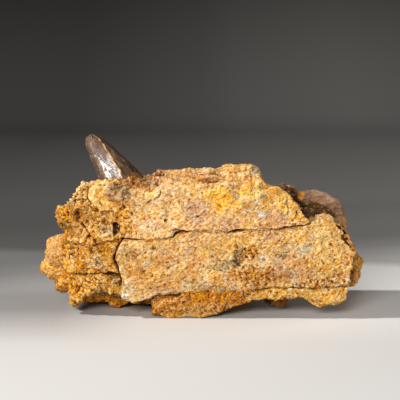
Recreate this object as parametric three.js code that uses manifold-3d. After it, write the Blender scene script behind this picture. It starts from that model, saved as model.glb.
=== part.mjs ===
// A length of mosasaur jaw with one tooth, in the sandy rock it was found in.
// Millimetres, +Z up. +X runs along the jaw and the near wall faces -Y.
// The origin is on the flat of the foot that the fossil rests on.
import * as THREE from "three";
import { mergeVertices } from "three/addons/utils/BufferGeometryUtils.js";
import Module from "manifold-3d";

const wasm = await Module();
wasm.setup();

// ---- Driving dimensions -------------------------------------------------------------------

const GAP = 0.3; // clearance between two pieces that touch
const FACE = -30; // y of the near wall's face at the long crack
const NEAR_WALL = 17; // thickness of the near wall
const FAR_WALL = [16, 31]; // y of the far wall's two faces
const OVERLAP = 1.5; // how far joined blocks reach into each other
const SQUARE = 2.5; // how square a boulder is: 2 is a ball

// Edges of the near wall, as [x, z].
const CREST = [
  [-26.5, 68.5],
  [-24, 70],
  [-15, 72],
  [-1, 71.8],
  [7, 72.7],
  [12.2, 74.2],
  [21, 74.4],
  [27.7, 72.2],
  [29.2, 69],
  [31, 65],
];
const SHOULDER = [
  [-40, 66],
  [-28, 69.5],
  [-15, 70],
  [-12, 65.5],
  [23.5, 65.3],
  [24.5, 69],
  [28, 69.5],
  [31, 65],
  [36, 63.2],
  [42, 60.3],
  [46, 54],
  [51, 48],
  [52, 46],
];
const LONG_CRACK = [
  [-67, 36.4],
  [-61, 35],
  [-51.5, 35],
  [-44, 37.2],
  [-30, 38],
  [-20, 38.1],
  [-13.7, 39.5],
  [-11, 41.6],
  [8, 42.5],
  [12.5, 41.3],
  [16.5, 42.3],
  [27.5, 43.8],
  [35.5, 43.2],
  [45, 44.8],
  [52, 47],
  [55.5, 48.9],
  [59.5, 48.9],
  [65, 47.4],
  [70.5, 42.9],
];
const LOWER_EDGE = [
  [-40, 9.5],
  [-36, 8.4],
  [-33, 7],
  [-26, 9],
  [-22, 11.3],
  [-9, 12.2],
  [9, 12],
  [22, 13],
  [35, 14.9],
  [54, 14.5],
  [71, 15.4],
];
// Its two broken ends, as [z, x].
const UPRIGHT_CRACK = [
  [10, -39],
  [16, -39],
  [24.3, -40.4],
  [29.7, -42.6],
  [32, -42.3],
  [37.7, -38.6],
];
const LOWER_END = [
  [15.9, 70.8],
  [24, 72.1],
  [31.5, 74.3],
  [35.7, 73.3],
  [43, 70.2],
];

// ---- Making the shapes --------------------------------------------------------------------

const mix = (a, b, t) => a + (b - a) * t;
const level = (value) => () => value;

// Straight lines through [at, value] points, level beyond the first and the last.
function line(points) {
  return (at) => {
    const next = points.findIndex(([place]) => place > at);
    if (next === 0) return points[0][1];
    if (next < 0) return points[points.length - 1][1];
    const [p0, v0] = points[next - 1];
    const [p1, v1] = points[next];
    return mix(v0, v1, (at - p0) / (p1 - p0));
  };
}

// The lumps of a weathered surface: three crossed waves, between -1 and 1.
function lumps(x, y, z) {
  const broad = Math.sin(x / 4.3 + 1.7 * Math.sin(z / 6.1)) * Math.cos(z / 3.7 + y / 5.3);
  const small = Math.sin(x / 2.1 - z / 2.9 + 2) * Math.cos(y / 2.3 + z / 1.9);
  return 0.65 * broad + 0.35 * small;
}

function solid(geometry) {
  const bare = geometry.clone();
  bare.deleteAttribute("normal");
  bare.deleteAttribute("uv");
  const merged = mergeVertices(bare, 1e-4);
  return new wasm.Manifold(
    new wasm.Mesh({
      numProp: 3,
      vertProperties: merged.attributes.position.array,
      triVerts: new Uint32Array(merged.index.array),
    }),
  );
}

// Moves each point of a smooth closed surface out along its normal, by its lump and by `grow`.
function weathered(geometry, lumpy, grow) {
  geometry.computeVertexNormals();
  const position = geometry.attributes.position;
  const at = new THREE.Vector3();
  const out = new THREE.Vector3();
  for (let i = 0; i < position.count; i += 1) {
    at.fromBufferAttribute(position, i);
    out.fromBufferAttribute(geometry.attributes.normal, i);
    at.addScaledVector(out, grow + lumpy * lumps(at.x, at.y, at.z));
    position.setXYZ(i, at.x, at.y, at.z);
  }
  return solid(geometry);
}

// The surface of a cube from -1 to 1, in one closed skin.
function cube(cuts) {
  const box = new THREE.BoxGeometry(2, 2, 2, ...cuts);
  box.deleteAttribute("normal");
  box.deleteAttribute("uv");
  return mergeVertices(box);
}

// A block with rounded edges, pulled out to its six sides: x between left(z) and right(z),
// z between bottom(x) and top(x), y between front(x, z) and back(x, z).
// `grow` swells it, for the space that it leaves round itself in another piece.
function block({ left, right, bottom, top, front, back }, { cuts, round = 2, lumpy = 0.8, grow = 0 }) {
  const geometry = cube(cuts);
  const middle = (left(0) + right(0)) / 2;
  const size = new THREE.Vector3(
    right(0) - left(0),
    back(middle, top(middle)) - front(middle, top(middle)),
    top(middle) - bottom(middle),
  );
  const radius = new THREE.Vector3(2 * round, 2 * round, 2 * round).divide(size);
  radius.clampScalar(0.02, 0.9);
  const inner = new THREE.Vector3(1, 1, 1).sub(radius);
  const outer = inner.clone().negate();
  const at = new THREE.Vector3();
  const core = new THREE.Vector3();
  const position = geometry.attributes.position;
  for (let i = 0; i < position.count; i += 1) {
    at.fromBufferAttribute(position, i);
    core.copy(at).clamp(outer, inner);
    at.sub(core).divide(radius).normalize().multiply(radius).add(core);
    const height = (at.z + 1) / 2;
    const leftEnd = left(mix(bottom(left(0)), top(left(0)), height));
    const rightEnd = right(mix(bottom(right(0)), top(right(0)), height));
    const x = mix(leftEnd, rightEnd, (at.x + 1) / 2);
    const z = mix(bottom(x), top(x), height);
    position.setXYZ(i, x, mix(front(x, z), back(x, z), (at.y + 1) / 2), z);
  }
  return weathered(geometry, lumpy, grow);
}

// A lump of rock with no flat sides, from its middle and its three half sizes: a cube drawn in
// to a ball that is a little square.
function boulder([x, y, z], halfSizes, { cuts = [4, 4, 4], lumpy = 1, grow = 0 } = {}) {
  const geometry = cube(cuts);
  const position = geometry.attributes.position;
  for (let i = 0; i < position.count; i += 1) {
    const corner = [position.getX(i), position.getY(i), position.getZ(i)];
    const reach = corner.reduce((sum, part) => sum + Math.abs(part) ** SQUARE, 0) ** (1 / SQUARE);
    const [dx, dy, dz] = corner.map((part, axis) => (part / reach) * halfSizes[axis]);
    position.setXYZ(i, x + dx, y + dy, z + dz);
  }
  return weathered(geometry, lumpy, grow);
}

// The blade that cuts a crack: [x, z] points down its middle, `width` wide and `depth` deep into
// the face at y.
function crack(points, { width, y, depth }) {
  const shape = new THREE.Shape();
  const last = points.length - 1;
  const half = (i) => (i === 0 || i === last ? width / 6 : width / 2);
  points.forEach(([x, z], i) => (i ? shape.lineTo(x, z + half(i)) : shape.moveTo(x, z + half(i))));
  for (let i = last; i >= 0; i -= 1) shape.lineTo(points[i][0], points[i][1] - half(i));
  const blade = new THREE.ExtrudeGeometry(shape, { depth: depth + 10, bevelEnabled: false });
  blade.rotateX(Math.PI / 2).translate(0, y + depth, 0);
  return solid(blade);
}

const join = (solids) => solids.reduce((all, next) => all.add(next));
const cut = (body, tools) => tools.reduce((rest, tool) => rest.subtract(tool), body);

// ---- Tooth --------------------------------------------------------------------------------

// The crown leans to the left. Its outline, cut level at each height: [z, left, right].
const CROWN = [
  [58, -47.5, -27],
  [67, -51.4, -29],
  [74, -54.2, -35.2],
  [80.4, -56.3, -42.3],
  [85, -57.2, -47.4],
  [88, -55.5, -51.2],
];
const CROWN_MIDDLE = -13.5; // y of its middle
const KEEL = 0.6; // how far along the outline, from the left, its front keel stands
const KEEL_PROUD = 0.7;
const CROWN_DEPTH = 0.72; // half depth for each half width

function crown(grow = 0) {
  const tube = new THREE.CylinderGeometry(1, 1, 1, 24, 8, false);
  tube.rotateX(Math.PI / 2);
  const position = tube.attributes.position;
  const [low, high] = [CROWN[0][0], CROWN[CROWN.length - 1][0]];
  const leftAt = line(CROWN.map(([z, left]) => [z, left]));
  const rightAt = line(CROWN.map(([z, , right]) => [z, right]));
  for (let i = 0; i < position.count; i += 1) {
    const [cosine, sine] = [position.getX(i), position.getY(i)];
    const z = mix(low, high, position.getZ(i) + 0.5);
    const half = (rightAt(z) - leftAt(z)) / 2;
    const middle = (rightAt(z) + leftAt(z)) / 2;
    const keelAt = Math.acos(2 * KEEL - 1);
    const turn = Math.atan2(-sine, cosine);
    const keel = KEEL_PROUD * Math.exp(-(((turn - keelAt) / 0.16) ** 2)) * Math.min(1, half / 6);
    const reach = 1 + (grow + keel) / half;
    position.setXYZ(
      i,
      middle + half * reach * cosine,
      CROWN_MIDDLE + half * CROWN_DEPTH * reach * sine,
      z + (z > high - 1 ? grow : 0),
    );
  }
  return solid(tube);
}

// ---- Near wall ----------------------------------------------------------------------------

const longCrack = line(LONG_CRACK);
const lowerEdge = line(LOWER_EDGE);
// The upper plate leans back from the crack, and the lower plate stands upright.
const upperFace = (x, z) => FACE + 0.16 * Math.max(0, z - longCrack(x));

function upperPlate(grow) {
  const top = line(SHOULDER);
  return block(
    {
      left: level(-40),
      right: level(52),
      bottom: (x) => longCrack(x) - OVERLAP,
      top,
      front: upperFace,
      back: (x, z) => upperFace(x, z) + NEAR_WALL - 3,
    },
    { cuts: [16, 2, 6], grow },
  );
}

// The crest stands behind the ledge that crosses the upper plate.
function crest(grow) {
  return block(
    {
      left: level(-24),
      right: level(31.5),
      bottom: level(56),
      top: line(CREST),
      front: (x, z) => -22.5 + 0.2 * (z - 65),
      back: level(-10),
    },
    { cuts: [11, 2, 3], grow },
  );
}

// The bulb of the tooth's root and the bone round it.
function rootBone(grow) {
  const face = (x, z) => -27.5 + 0.004 * (z - 50) ** 2 + 0.01 * (x + 48) ** 2;
  const bone = block(
    {
      left: level(-65),
      right: level(-26),
      bottom: (x) => longCrack(x) - OVERLAP,
      top: line([
        [-65, 56],
        [-62, 61.5],
        [-58.5, 65],
        [-51, 66.5],
        [-38, 66.5],
        [-29, 69.5],
      ]),
      front: face,
      back: level(-8),
    },
    { cuts: [8, 2, 7], grow },
  );
  const bulb = boulder([-51, -22, 57.5], [7.5, 7, 8], { lumpy: 0.4, grow });
  return bone.add(bulb);
}

function lowerPlate(grow) {
  return block(
    {
      left: line(UPRIGHT_CRACK),
      right: line(LOWER_END),
      bottom: lowerEdge,
      top: (x) => longCrack(x) + OVERLAP,
      front: (x, z) => FACE - 1.5 + 0.05 * Math.max(0, z - 20),
      back: level(FACE + NEAR_WALL),
    },
    { cuts: [20, 2, 6], grow },
  );
}

const nearWall = (grow = 0) =>
  join([upperPlate(grow), crest(grow), rootBone(grow), lowerPlate(grow)]);

// Deep pits round the root, as [x, z, half width, half height].
const PITS = [
  [-60.2, 50, 1.8, 2.8],
  [-41.6, 42.8, 1.5, 3],
  [-51.2, 51, 1.2, 1.2],
  [-54.8, 39.2, 1.3, 1.6],
];

function outerJawBone() {
  const pits = PITS.map(([x, z, wide, high]) =>
    boulder([x, FACE + 3, z], [wide, 4.5, high], { cuts: [2, 2, 2], lumpy: 0 }),
  );
  return cut(nearWall(), [
    crack(LONG_CRACK.filter(([x]) => x > -68 && x < 56), { width: 1, y: FACE, depth: 4 }),
    crown(GAP),
    ...pits,
  ]);
}

// ---- Far wall -----------------------------------------------------------------------------

function farWall(grow = 0) {
  return block(
    {
      left: level(-56),
      right: line([
        [12, 66],
        [30, 74],
        [41, 76],
        [48, 73],
      ]),
      bottom: line([
        [-56, 24],
        [-30, 14],
        [20, 11],
        [60, 16],
        [76, 24],
      ]),
      top: line([
        [-56, 48],
        [-44, 57],
        [-20, 62],
        [10, 62.5],
        [35.5, 59.6],
        [42.5, 60.4],
        [48.7, 59],
        [53, 56.3],
        [61, 55.8],
        [68, 53.2],
        [72, 49],
        [75.5, 43],
      ]),
      front: level(FAR_WALL[0]),
      back: (x, z) => FAR_WALL[1] - 0.006 * (z - 36) ** 2,
    },
    { cuts: [17, 2, 6], round: 3, grow },
  );
}

// ---- Matrix -------------------------------------------------------------------------------

// The fill between the walls. Towards the right it stops short of their tops, which leaves a
// trough between them.
function fill() {
  return block(
    {
      left: line([
        [12, -62],
        [30, -67],
        [48, -62],
      ]),
      right: line([
        [15, 68],
        [26, 74],
        [38, 69],
      ]),
      bottom: line([
        [-66, 12],
        [-40, 6],
        [20, 6],
        [50, 10],
        [73, 15],
      ]),
      top: line([
        [-66, 48],
        [-58, 60],
        [-50, 64],
        [-36, 68],
        [-28, 69.5],
        [-10, 68],
        [20, 66],
        [28, 60],
        [34, 50],
        [56, 45],
        [73, 38],
      ]),
      front: level(-20),
      back: level(FAR_WALL[0] + 4),
    },
    { cuts: [12, 4, 4] },
  );
}

// The rock that the far wall's lower edge and left end are sunk in.
function backRim() {
  return block(
    {
      left: line([
        [12, -58],
        [24, -64],
        [44, -60],
      ]),
      right: level(70),
      bottom: line([
        [-64, 12],
        [-24, 4],
        [24, 5],
        [70, 12],
      ]),
      top: line([
        [-64, 46],
        [-54, 36],
        [-44, 22],
        [-20, 19],
        [30, 16],
        [70, 22],
      ]),
      front: level(4),
      back: line([
        [-64, 22],
        [-50, 28],
        [0, 29],
        [50, 28],
        [70, 24],
      ]),
    },
    { cuts: [12, 3, 3], round: 3, lumpy: 1.2 },
  );
}

function leftEnd() {
  const upper = block(
    {
      left: line([
        [20, -66],
        [28, -68.5],
        [36, -66],
      ]),
      right: level(-36),
      bottom: level(20.5),
      top: (x) => longCrack(x) - 0.1,
      front: (x) => -28.5 + 0.012 * (x + 48) ** 2,
      back: level(0),
    },
    { cuts: [6, 4, 4] },
  );
  const lower = block(
    {
      left: level(-66),
      right: level(-36),
      bottom: line([
        [-66, 9],
        [-63, 4],
        [-61, 5],
        [-57.5, 9],
        [-47, 12],
        [-36, 9],
      ]),
      top: level(21.5),
      front: (x) => -27.5 + 0.01 * (x + 48) ** 2,
      back: level(-4),
    },
    { cuts: [7, 3, 4] },
  );
  const under = block(
    {
      left: level(-62),
      right: level(-20),
      bottom: line([
        [-62, 3],
        [-50, 3.5],
        [-43, 1.5],
        [-36, 4],
        [-20, 2],
      ]),
      top: level(18),
      front: (x, z) => -17 - 0.5 * Math.max(0, z - 6),
      back: level(18),
    },
    { cuts: [7, 5, 3] },
  );
  const lobes = [
    boulder([-63.5, -16, 48.3], [9.6, 10, 7.5]),
    boulder([-63.5, -16, 41], [7, 9, 7]),
    boulder([-68, -5, 30], [11.5, 13, 10.5], { lumpy: 0.6 }),
    boulder([-71.5, -4, 19], [10.3, 13, 7.2]),
    boulder([-66, -9, 13], [8, 12, 8]),
  ];
  return join([upper, lower, under, ...lobes]);
}

// The foot: a slab under the near wall, and behind it the broad mass that rests on the ground.
function foot() {
  const slab = block(
    {
      left: level(-24.8),
      right: level(24),
      bottom: line([
        [-24.5, 2],
        [-19, 0.8],
        [-15, -0.2],
        [-2.5, -0.2],
        [3, 0.8],
        [9, 2.1],
        [14.5, 5],
        [24, 8],
      ]),
      top: (x) => lowerEdge(x) + 1,
      front: level(-31.5),
      back: level(-8),
    },
    { cuts: [10, 4, 2], round: 1.2 },
  );
  const base = block(
    {
      left: level(-24),
      right: level(23),
      bottom: level(-1.5),
      top: level(14),
      front: line([
        [-24, -26],
        [0, -27],
        [9, -20],
        [15, -9],
        [23, 6],
      ]),
      back: level(25),
    },
    { cuts: [7, 6, 2] },
  );
  return slab.add(base);
}

function shelf() {
  return block(
    {
      left: level(20),
      right: line([
        [8, 70.5],
        [11.6, 69.2],
        [15, 71.2],
      ]),
      bottom: line([
        [20, 8],
        [31.5, 8.6],
        [40.7, 9.7],
        [46.7, 10.5],
        [50, 9.3],
        [53, 6.8],
        [56.3, 5],
        [61, 6.3],
        [67, 7],
        [71, 9.9],
      ]),
      top: (x) => lowerEdge(x) + 1,
      front: level(-32),
      back: level(8),
    },
    { cuts: [12, 4, 2], round: 1 },
  );
}

function matrix() {
  const rock = join([
    fill(),
    backRim(),
    leftEnd(),
    foot(),
    shelf(),
    boulder([-31, -13, 66.5], [5.5, 10, 5]),
    boulder([37.5, -13, 9], [7, 7, 7.4], { cuts: [3, 3, 3] }),
    boulder([73.5, 5, 20], [10, 11, 6]),
    boulder([71.5, 4, 14], [10.5, 12, 7]),
  ]);
  const below = new THREE.BoxGeometry(400, 200, 40).translate(0, 0, -20);
  return cut(rock, [solid(below), nearWall(GAP), farWall(GAP), crown(GAP)]);
}

// ---- The assembly -------------------------------------------------------------------------

function piece(name, body, finish) {
  const { vertProperties, triVerts } = body.getMesh();
  const geometry = new THREE.BufferGeometry();
  geometry.setAttribute("position", new THREE.BufferAttribute(new Float32Array(vertProperties), 3));
  geometry.setIndex(new THREE.BufferAttribute(new Uint32Array(triVerts), 1));
  const mesh = new THREE.Mesh(geometry, new THREE.MeshStandardMaterial(finish));
  mesh.name = name;
  return mesh;
}

const jaw = new THREE.Group();
jaw.add(
  piece("tooth", crown(), { color: 0x4a3d30, roughness: 0.2, metalness: 0 }),
  piece("outer_jaw_bone", outerJawBone(), { color: 0xd9a765, roughness: 0.9, metalness: 0 }),
  piece("inner_jaw_bone", farWall(), { color: 0x8d7358, roughness: 0.8, metalness: 0 }),
  piece("matrix", matrix(), { color: 0xc08a4a, roughness: 0.95, metalness: 0 }),
);
export default jaw;
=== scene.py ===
"""A length of fossil mosasaur jaw: cracked bone walls, sandy rock and one glossy tooth.

Lengths in the shape functions are millimetres in the frame of the part: +X runs along the jaw,
the near wall faces -Y and +Z is up. They are turned to metres when a mesh is made.
"""
import math

import bpy
import numpy as np
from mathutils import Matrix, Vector


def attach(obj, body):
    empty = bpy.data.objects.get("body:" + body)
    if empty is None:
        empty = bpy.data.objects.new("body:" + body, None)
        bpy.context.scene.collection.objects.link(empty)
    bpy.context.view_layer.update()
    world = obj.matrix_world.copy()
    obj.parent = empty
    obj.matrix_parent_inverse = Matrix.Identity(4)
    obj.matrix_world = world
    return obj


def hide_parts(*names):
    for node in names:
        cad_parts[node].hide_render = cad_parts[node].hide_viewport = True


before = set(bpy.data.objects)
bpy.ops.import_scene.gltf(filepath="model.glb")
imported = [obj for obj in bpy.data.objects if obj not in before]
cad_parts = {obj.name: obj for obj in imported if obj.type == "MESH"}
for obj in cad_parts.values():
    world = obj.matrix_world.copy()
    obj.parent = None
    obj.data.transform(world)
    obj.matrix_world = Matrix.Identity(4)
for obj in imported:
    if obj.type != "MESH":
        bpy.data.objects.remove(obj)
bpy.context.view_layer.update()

MM = 0.001
CELL = 0.42  # spacing of the grid on the faces that matter, in mm

# ---- Edges of the bone and rock, in mm ----

FACE = -30.0  # y of the near wall's face at the long crack
NEAR_WALL = 17.0  # thickness of the near wall under the long crack
THINNER = 3  # and how much thinner it is above
FAR_WALL = (16.0, 31.0)  # y of the far wall's two faces
PLATE_LEAN = 0.16  # how far the upper plate leans back for each mm of height
ROOT_FACE = -27.5  # y of the bone round the root

# Seen from the front: (x, z) points, or (z, x) for the two upright edges
CREST = [(-26.5, 67.2), (-24, 69), (-18.5, 71.2), (-13, 72), (-1, 71.9), (7, 72.5), (12.2, 73.8),
         (21, 74), (26.5, 72), (28.8, 69), (31, 65)]
SHOULDER = [(-65, 55.4), (-62, 60.7), (-58.5, 64.3), (-51, 66.3), (-38, 66.5), (-29, 67.2),
            (-24, 67.8), (-17, 68.4), (-9, 66.2), (-3, 65.7), (23.5, 65.3), (24.5, 69), (28, 69.5),
            (31, 65), (36, 63.2), (42, 60.3), (46, 54), (51, 48), (52, 46)]
LONG_CRACK = [(-67, 36.4), (-61, 35), (-51.5, 35), (-44, 37.2), (-36.6, 38.3), (-30, 38),
              (-20, 38.1), (-17.4, 38.7), (-13.7, 39.6), (-11.1, 41.8), (-3.9, 42.5), (8.2, 42.3),
              (12.5, 41.7), (16.4, 42.4), (27.5, 43.2), (35.6, 43.2), (42.4, 44.3), (50, 45.4),
              (52, 46), (54, 48.4), (56, 49.3), (63, 48.9), (65.5, 47.8), (70.6, 42.5)]
CRACK_GAP = [(-67, 0.1), (-52, 0.1), (-46, 0.3), (-36, 0.3), (-20, 0.2), (-14, 0.2), (-13.2, 0.5),
             (-12, 0.5), (-11.2, 0.3), (4, 0.4), (8, 0.45), (13, 0.3), (16, 0.35), (18, 0.3),
             (30, 0.4), (36, 0.5), (45, 0.5), (49, 0.8), (51, 1.4)]  # x, width
LOWER_EDGE = [(-40, 9.5), (-36, 8.4), (-33, 7), (-26, 9), (-22, 11.3), (-9, 12.2), (9, 12),
              (22, 13), (35, 14.9), (54, 14.5), (71, 15.4)]
UPRIGHT_CRACK = [(10, -39), (16, -39), (24.3, -40.4), (29.7, -42.6), (32, -42.3), (37.7, -38.6)]
LOWER_END = [(15.9, 70.8), (24, 72.1), (31.5, 74.3), (35.7, 73.3), (43, 70.2)]


# ---- Noise ----

def scrambled(cell, seed):
    """A number from 0 to 1 for each whole-number cell (n, 3): its three indices times large
    primes, joined by exclusive-or, then shifted and multiplied until no order is left."""
    i = cell.astype(np.int64).astype(np.uint32)
    h = i[:, 0] * np.uint32(73856093) ^ i[:, 1] * np.uint32(19349663) ^ i[:, 2] * np.uint32(83492791)
    h ^= np.uint32(seed * 2654435761 & 0xFFFFFFFF)
    h ^= h >> np.uint32(16)
    h *= np.uint32(0x7FEB352D)
    h ^= h >> np.uint32(15)
    h *= np.uint32(0x846CA68B)
    h ^= h >> np.uint32(16)
    return h.astype(np.float64) / 4294967295.0


def noise(p, size, seed=0):
    """Smooth noise, about -1 to 1, with features `size` mm across: each corner of the cell that
    a point is in has a random slope, and the eight slopes are blended by 6t^5 - 15t^4 + 10t^3."""
    q = p / size
    low = np.floor(q)
    t = q - low
    fade = t * t * t * (t * (t * 6 - 15) + 10)
    total = np.zeros(len(p))
    for corner in np.ndindex(2, 2, 2):
        c = np.array(corner)
        cell = low + c
        turn = 2 * np.pi * scrambled(cell, seed)
        rise = 2 * scrambled(cell, seed + 71) - 1
        flat = np.sqrt(1 - rise * rise)
        d = t - c
        slope = flat * np.cos(turn) * d[:, 0] + flat * np.sin(turn) * d[:, 1] + rise * d[:, 2]
        weight = np.prod(np.where(c, fade, 1 - fade), axis=1)
        total += weight * slope
    return 1.6 * total


def layered(p, size, layers, seed=0, keep=0.5):
    """Noise on noise: each layer is half as wide and `keep` times as strong as the one before."""
    return sum(keep ** k * noise(p, size / 2 ** k, seed + 13 * k) for k in range(layers))


def grains(p, size, seed=0):
    """Distance to the nearest grain, in cells, and that grain's own random number from 0 to 1:
    one grain lies at a random place in each cell, and the 27 cells round a point are searched."""
    q = p / size
    low = np.floor(q)
    nearest = np.full(len(p), 9.0)
    chance = np.zeros(len(p))
    for step in np.ndindex(3, 3, 3):
        cell = low + np.array(step) - 1
        lottery = [scrambled(cell, seed + k) for k in range(3)]
        away = np.linalg.norm(cell + np.stack(lottery, axis=1) - q, axis=1)
        chance = np.where(away < nearest, (lottery[0] * 7 + lottery[1] * 5) % 1, chance)
        nearest = np.minimum(nearest, away)
    return nearest, chance


def smooth_step(low, high, value):
    """0 below `low`, 1 above `high`, and 3t^2 - 2t^3 between."""
    t = np.clip((value - low) / (high - low), 0, 1)
    return t * t * (3 - 2 * t)


# ---- Surfaces ----

def line(points):
    """Straight lines through (at, value) points, level beyond the first and the last."""
    at, value = np.array(points, float).T
    return lambda x, *rest: np.interp(x, at, value)


def side(value):
    """A side of a block as a function: a number is the same everywhere, a list of points is
    joined by straight lines, and a function stays as it is."""
    if isinstance(value, list):
        return line(value)
    return value if callable(value) else lambda *at: value + 0 * at[0]


def cube_skin(cuts):
    """Six grids of cuts[axis] cells a side, joined along their edges: the skin of a cube from
    -1 to 1. Points with the same whole-number place on two grids become one."""
    count = np.array(cuts)
    places, faces, used = [], [], 0
    for axis, a, b in ((0, 1, 2), (1, 2, 0), (2, 0, 1)):
        u, v = np.meshgrid(np.arange(count[a] + 1), np.arange(count[b] + 1), indexing="ij")
        for end in (0, 1):
            place = np.zeros((u.size, 3), int)
            place[:, a], place[:, b], place[:, axis] = u.ravel(), v.ravel(), end * count[axis]
            quads = grid_quads(np.arange(u.size).reshape(u.shape) + used)
            faces.append(quads if end else quads[:, ::-1])
            places.append(place)
            used += u.size
    places = np.concatenate(places)
    key = (places[:, 0] * (count[1] + 1) + places[:, 1]) * (count[2] + 1) + places[:, 2]
    _, first, owner = np.unique(key, return_index=True, return_inverse=True)
    return places[first] / count * 2.0 - 1.0, owner[np.concatenate(faces)]


def grid_quads(rows):
    """The quads between neighbouring points of a grid, whose whole numbers are in `rows`."""
    quads = np.stack([rows[:-1, :-1], rows[1:, :-1], rows[1:, 1:], rows[:-1, 1:]], axis=-1)
    return quads.reshape(-1, 4)


def normals(p, quads):
    """Unit normal at each point: the cross product of each quad's diagonals, summed over the
    quads that share the point."""
    cross = np.cross(p[quads[:, 2]] - p[quads[:, 0]], p[quads[:, 3]] - p[quads[:, 1]])
    total = np.stack(
        [np.bincount(quads.ravel(), np.repeat(cross[:, k], 4), len(p)) for k in range(3)], axis=1)
    return total / (np.linalg.norm(total, axis=1, keepdims=True) + 1e-12)


def cells(length, spacing):
    """How many cells of about `spacing` a length takes, and at least three."""
    return max(3, int(round(length / spacing)))


def block(left, right, bottom, top, front, back, round_off=1.2, spacing=CELL, slope=0.0):
    """A cube's skin with rounded edges, pulled out to six sides: a point at (a, b, c) in the
    cube goes to x between left(z) and right(z), z between bottom(x) and top(x), and y between
    front(x, z) and back(x, z), each in proportion. An edge is rounded by drawing the points
    within `round_off` of it onto a circle. The top falls by `slope` for each mm towards the
    back."""
    left, right, bottom, top, front, back = map(side, (left, right, bottom, top, front, back))
    x0, x1 = float(left(0.0)), float(right(0.0))
    middle = (x0 + x1) / 2
    tall = float(top(middle) - bottom(middle))
    deep = float(back(middle, top(middle)) - front(middle, top(middle)))
    size = np.array([x1 - x0, deep, tall])
    skin, quads = cube_skin((cells(size[0], spacing), cells(deep, spacing * 1.4),
                             cells(tall, spacing)))
    radius = np.clip(2 * round_off / size, 0.01, 0.9)
    core = np.clip(skin, radius - 1, 1 - radius)
    out = (skin - core) / radius
    skin = core + radius * out / (np.linalg.norm(out, axis=1, keepdims=True) + 1e-12)
    height = (skin[:, 2] + 1) / 2
    left_end = left(bottom(x0) + (top(x0) - bottom(x0)) * height)
    right_end = right(bottom(x1) + (top(x1) - bottom(x1)) * height)
    x = left_end + (right_end - left_end) * (skin[:, 0] + 1) / 2
    z = bottom(x) + (top(x) - bottom(x)) * height
    near, far = front(x, z), back(x, z)
    y = near + (far - near) * (skin[:, 1] + 1) / 2
    return np.stack([x, y, z - slope * height * (y - near)], axis=1), quads


def boulder(middle, half_sizes, spacing=CELL * 1.2, square=2.5):
    """A cube's skin drawn in to a ball that is a little square: each point is divided by the sum
    of its coordinates to the power `square`, to one over that power, then stretched to its half
    sizes."""
    skin, quads = cube_skin([cells(1.6 * half, spacing) for half in half_sizes])
    reach = np.sum(np.abs(skin) ** square, axis=1, keepdims=True) ** (1 / square)
    return np.array(middle) + skin / reach * np.array(half_sizes), quads


def lumps(p):
    """The lumps of the weathered block, -1 to 1: 0.65 of a broad pair of crossed waves and 0.35
    of a finer pair. A pair is a sine times a cosine."""
    x, y, z = p.T
    broad = np.sin(x / 4.3 + 1.7 * np.sin(z / 6.1)) * np.cos(z / 3.7 + y / 5.3)
    small = np.sin(x / 2.1 - z / 2.9 + 2) * np.cos(y / 2.3 + z / 1.9)
    return 0.65 * broad + 0.35 * small


def line_distance(x, z, points):
    """Distance of each (x, z) from a bent line of points, and how far along it the nearest
    place is, 0 to 1: each stretch's nearest place is a projection held between its two ends."""
    best = np.full(len(x), 1e9)
    along = np.zeros(len(x))
    points = np.array(points, float)
    stretches = len(points) - 1
    for k in range(stretches):
        a, b = points[k], points[k + 1]
        d = b - a
        t = np.clip(((x - a[0]) * d[0] + (z - a[1]) * d[1]) / (d @ d), 0, 1)
        away = np.hypot(x - a[0] - t * d[0], z - a[1] - t * d[1])
        nearer = away < best
        best = np.where(nearer, away, best)
        along = np.where(nearer, (k + t) / stretches, along)
    return best, along


def inside(x, z, corners):
    """1 where (x, z) lies in the closed outline `corners`, 0 outside: a ray along +X crosses the
    outline an odd number of times."""
    odd = np.zeros(len(x), bool)
    for (x0, z0), (x1, z1) in zip(corners, corners[1:] + corners[:1]):
        spans = (z0 > z) != (z1 > z)
        crossing = x0 + (x1 - x0) * (z - z0) / (z1 - z0 + 1e-12)
        odd ^= spans & (x < crossing)
    return odd.astype(float)


def spot(p, middle, half, soft=0.5, ragged=0.0):
    """1 in an ellipse seen from the front and 0 outside it, over a border `soft` of its radius
    wide. `ragged` bends the border with noise."""
    reach = np.hypot((p[:, 0] - middle[0]) / half[0], (p[:, 2] - middle[1]) / half[1])
    if ragged:
        reach = reach + ragged * layered(p, 0.7 * min(half) + 0.8, 2, 901)
    return 1 - smooth_step(1 - soft / 2, 1 + soft / 2, reach)


def bell(away, width):
    """exp(-(away / width)^2): 1 in the middle, fading to both sides."""
    return np.exp(-(away / width) ** 2)


def spread(value, quads, times):
    """The value averaged over each quad and back over the quads round each point, `times` times."""
    share = np.bincount(quads.ravel(), minlength=len(value))
    for _ in range(times):
        mean = value[quads].mean(axis=1)
        value = np.bincount(quads.ravel(), np.repeat(mean, 4), len(value)) / share
    return value


# ---- Weathering ----

def streaked(p):
    """The points squeezed to half along a slope of 35 degrees, so that noise runs that way."""
    way = np.array([math.cos(math.radians(35)), 0, math.sin(math.radians(35))])
    return p - 0.5 * (p @ way)[:, None] * way


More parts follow.
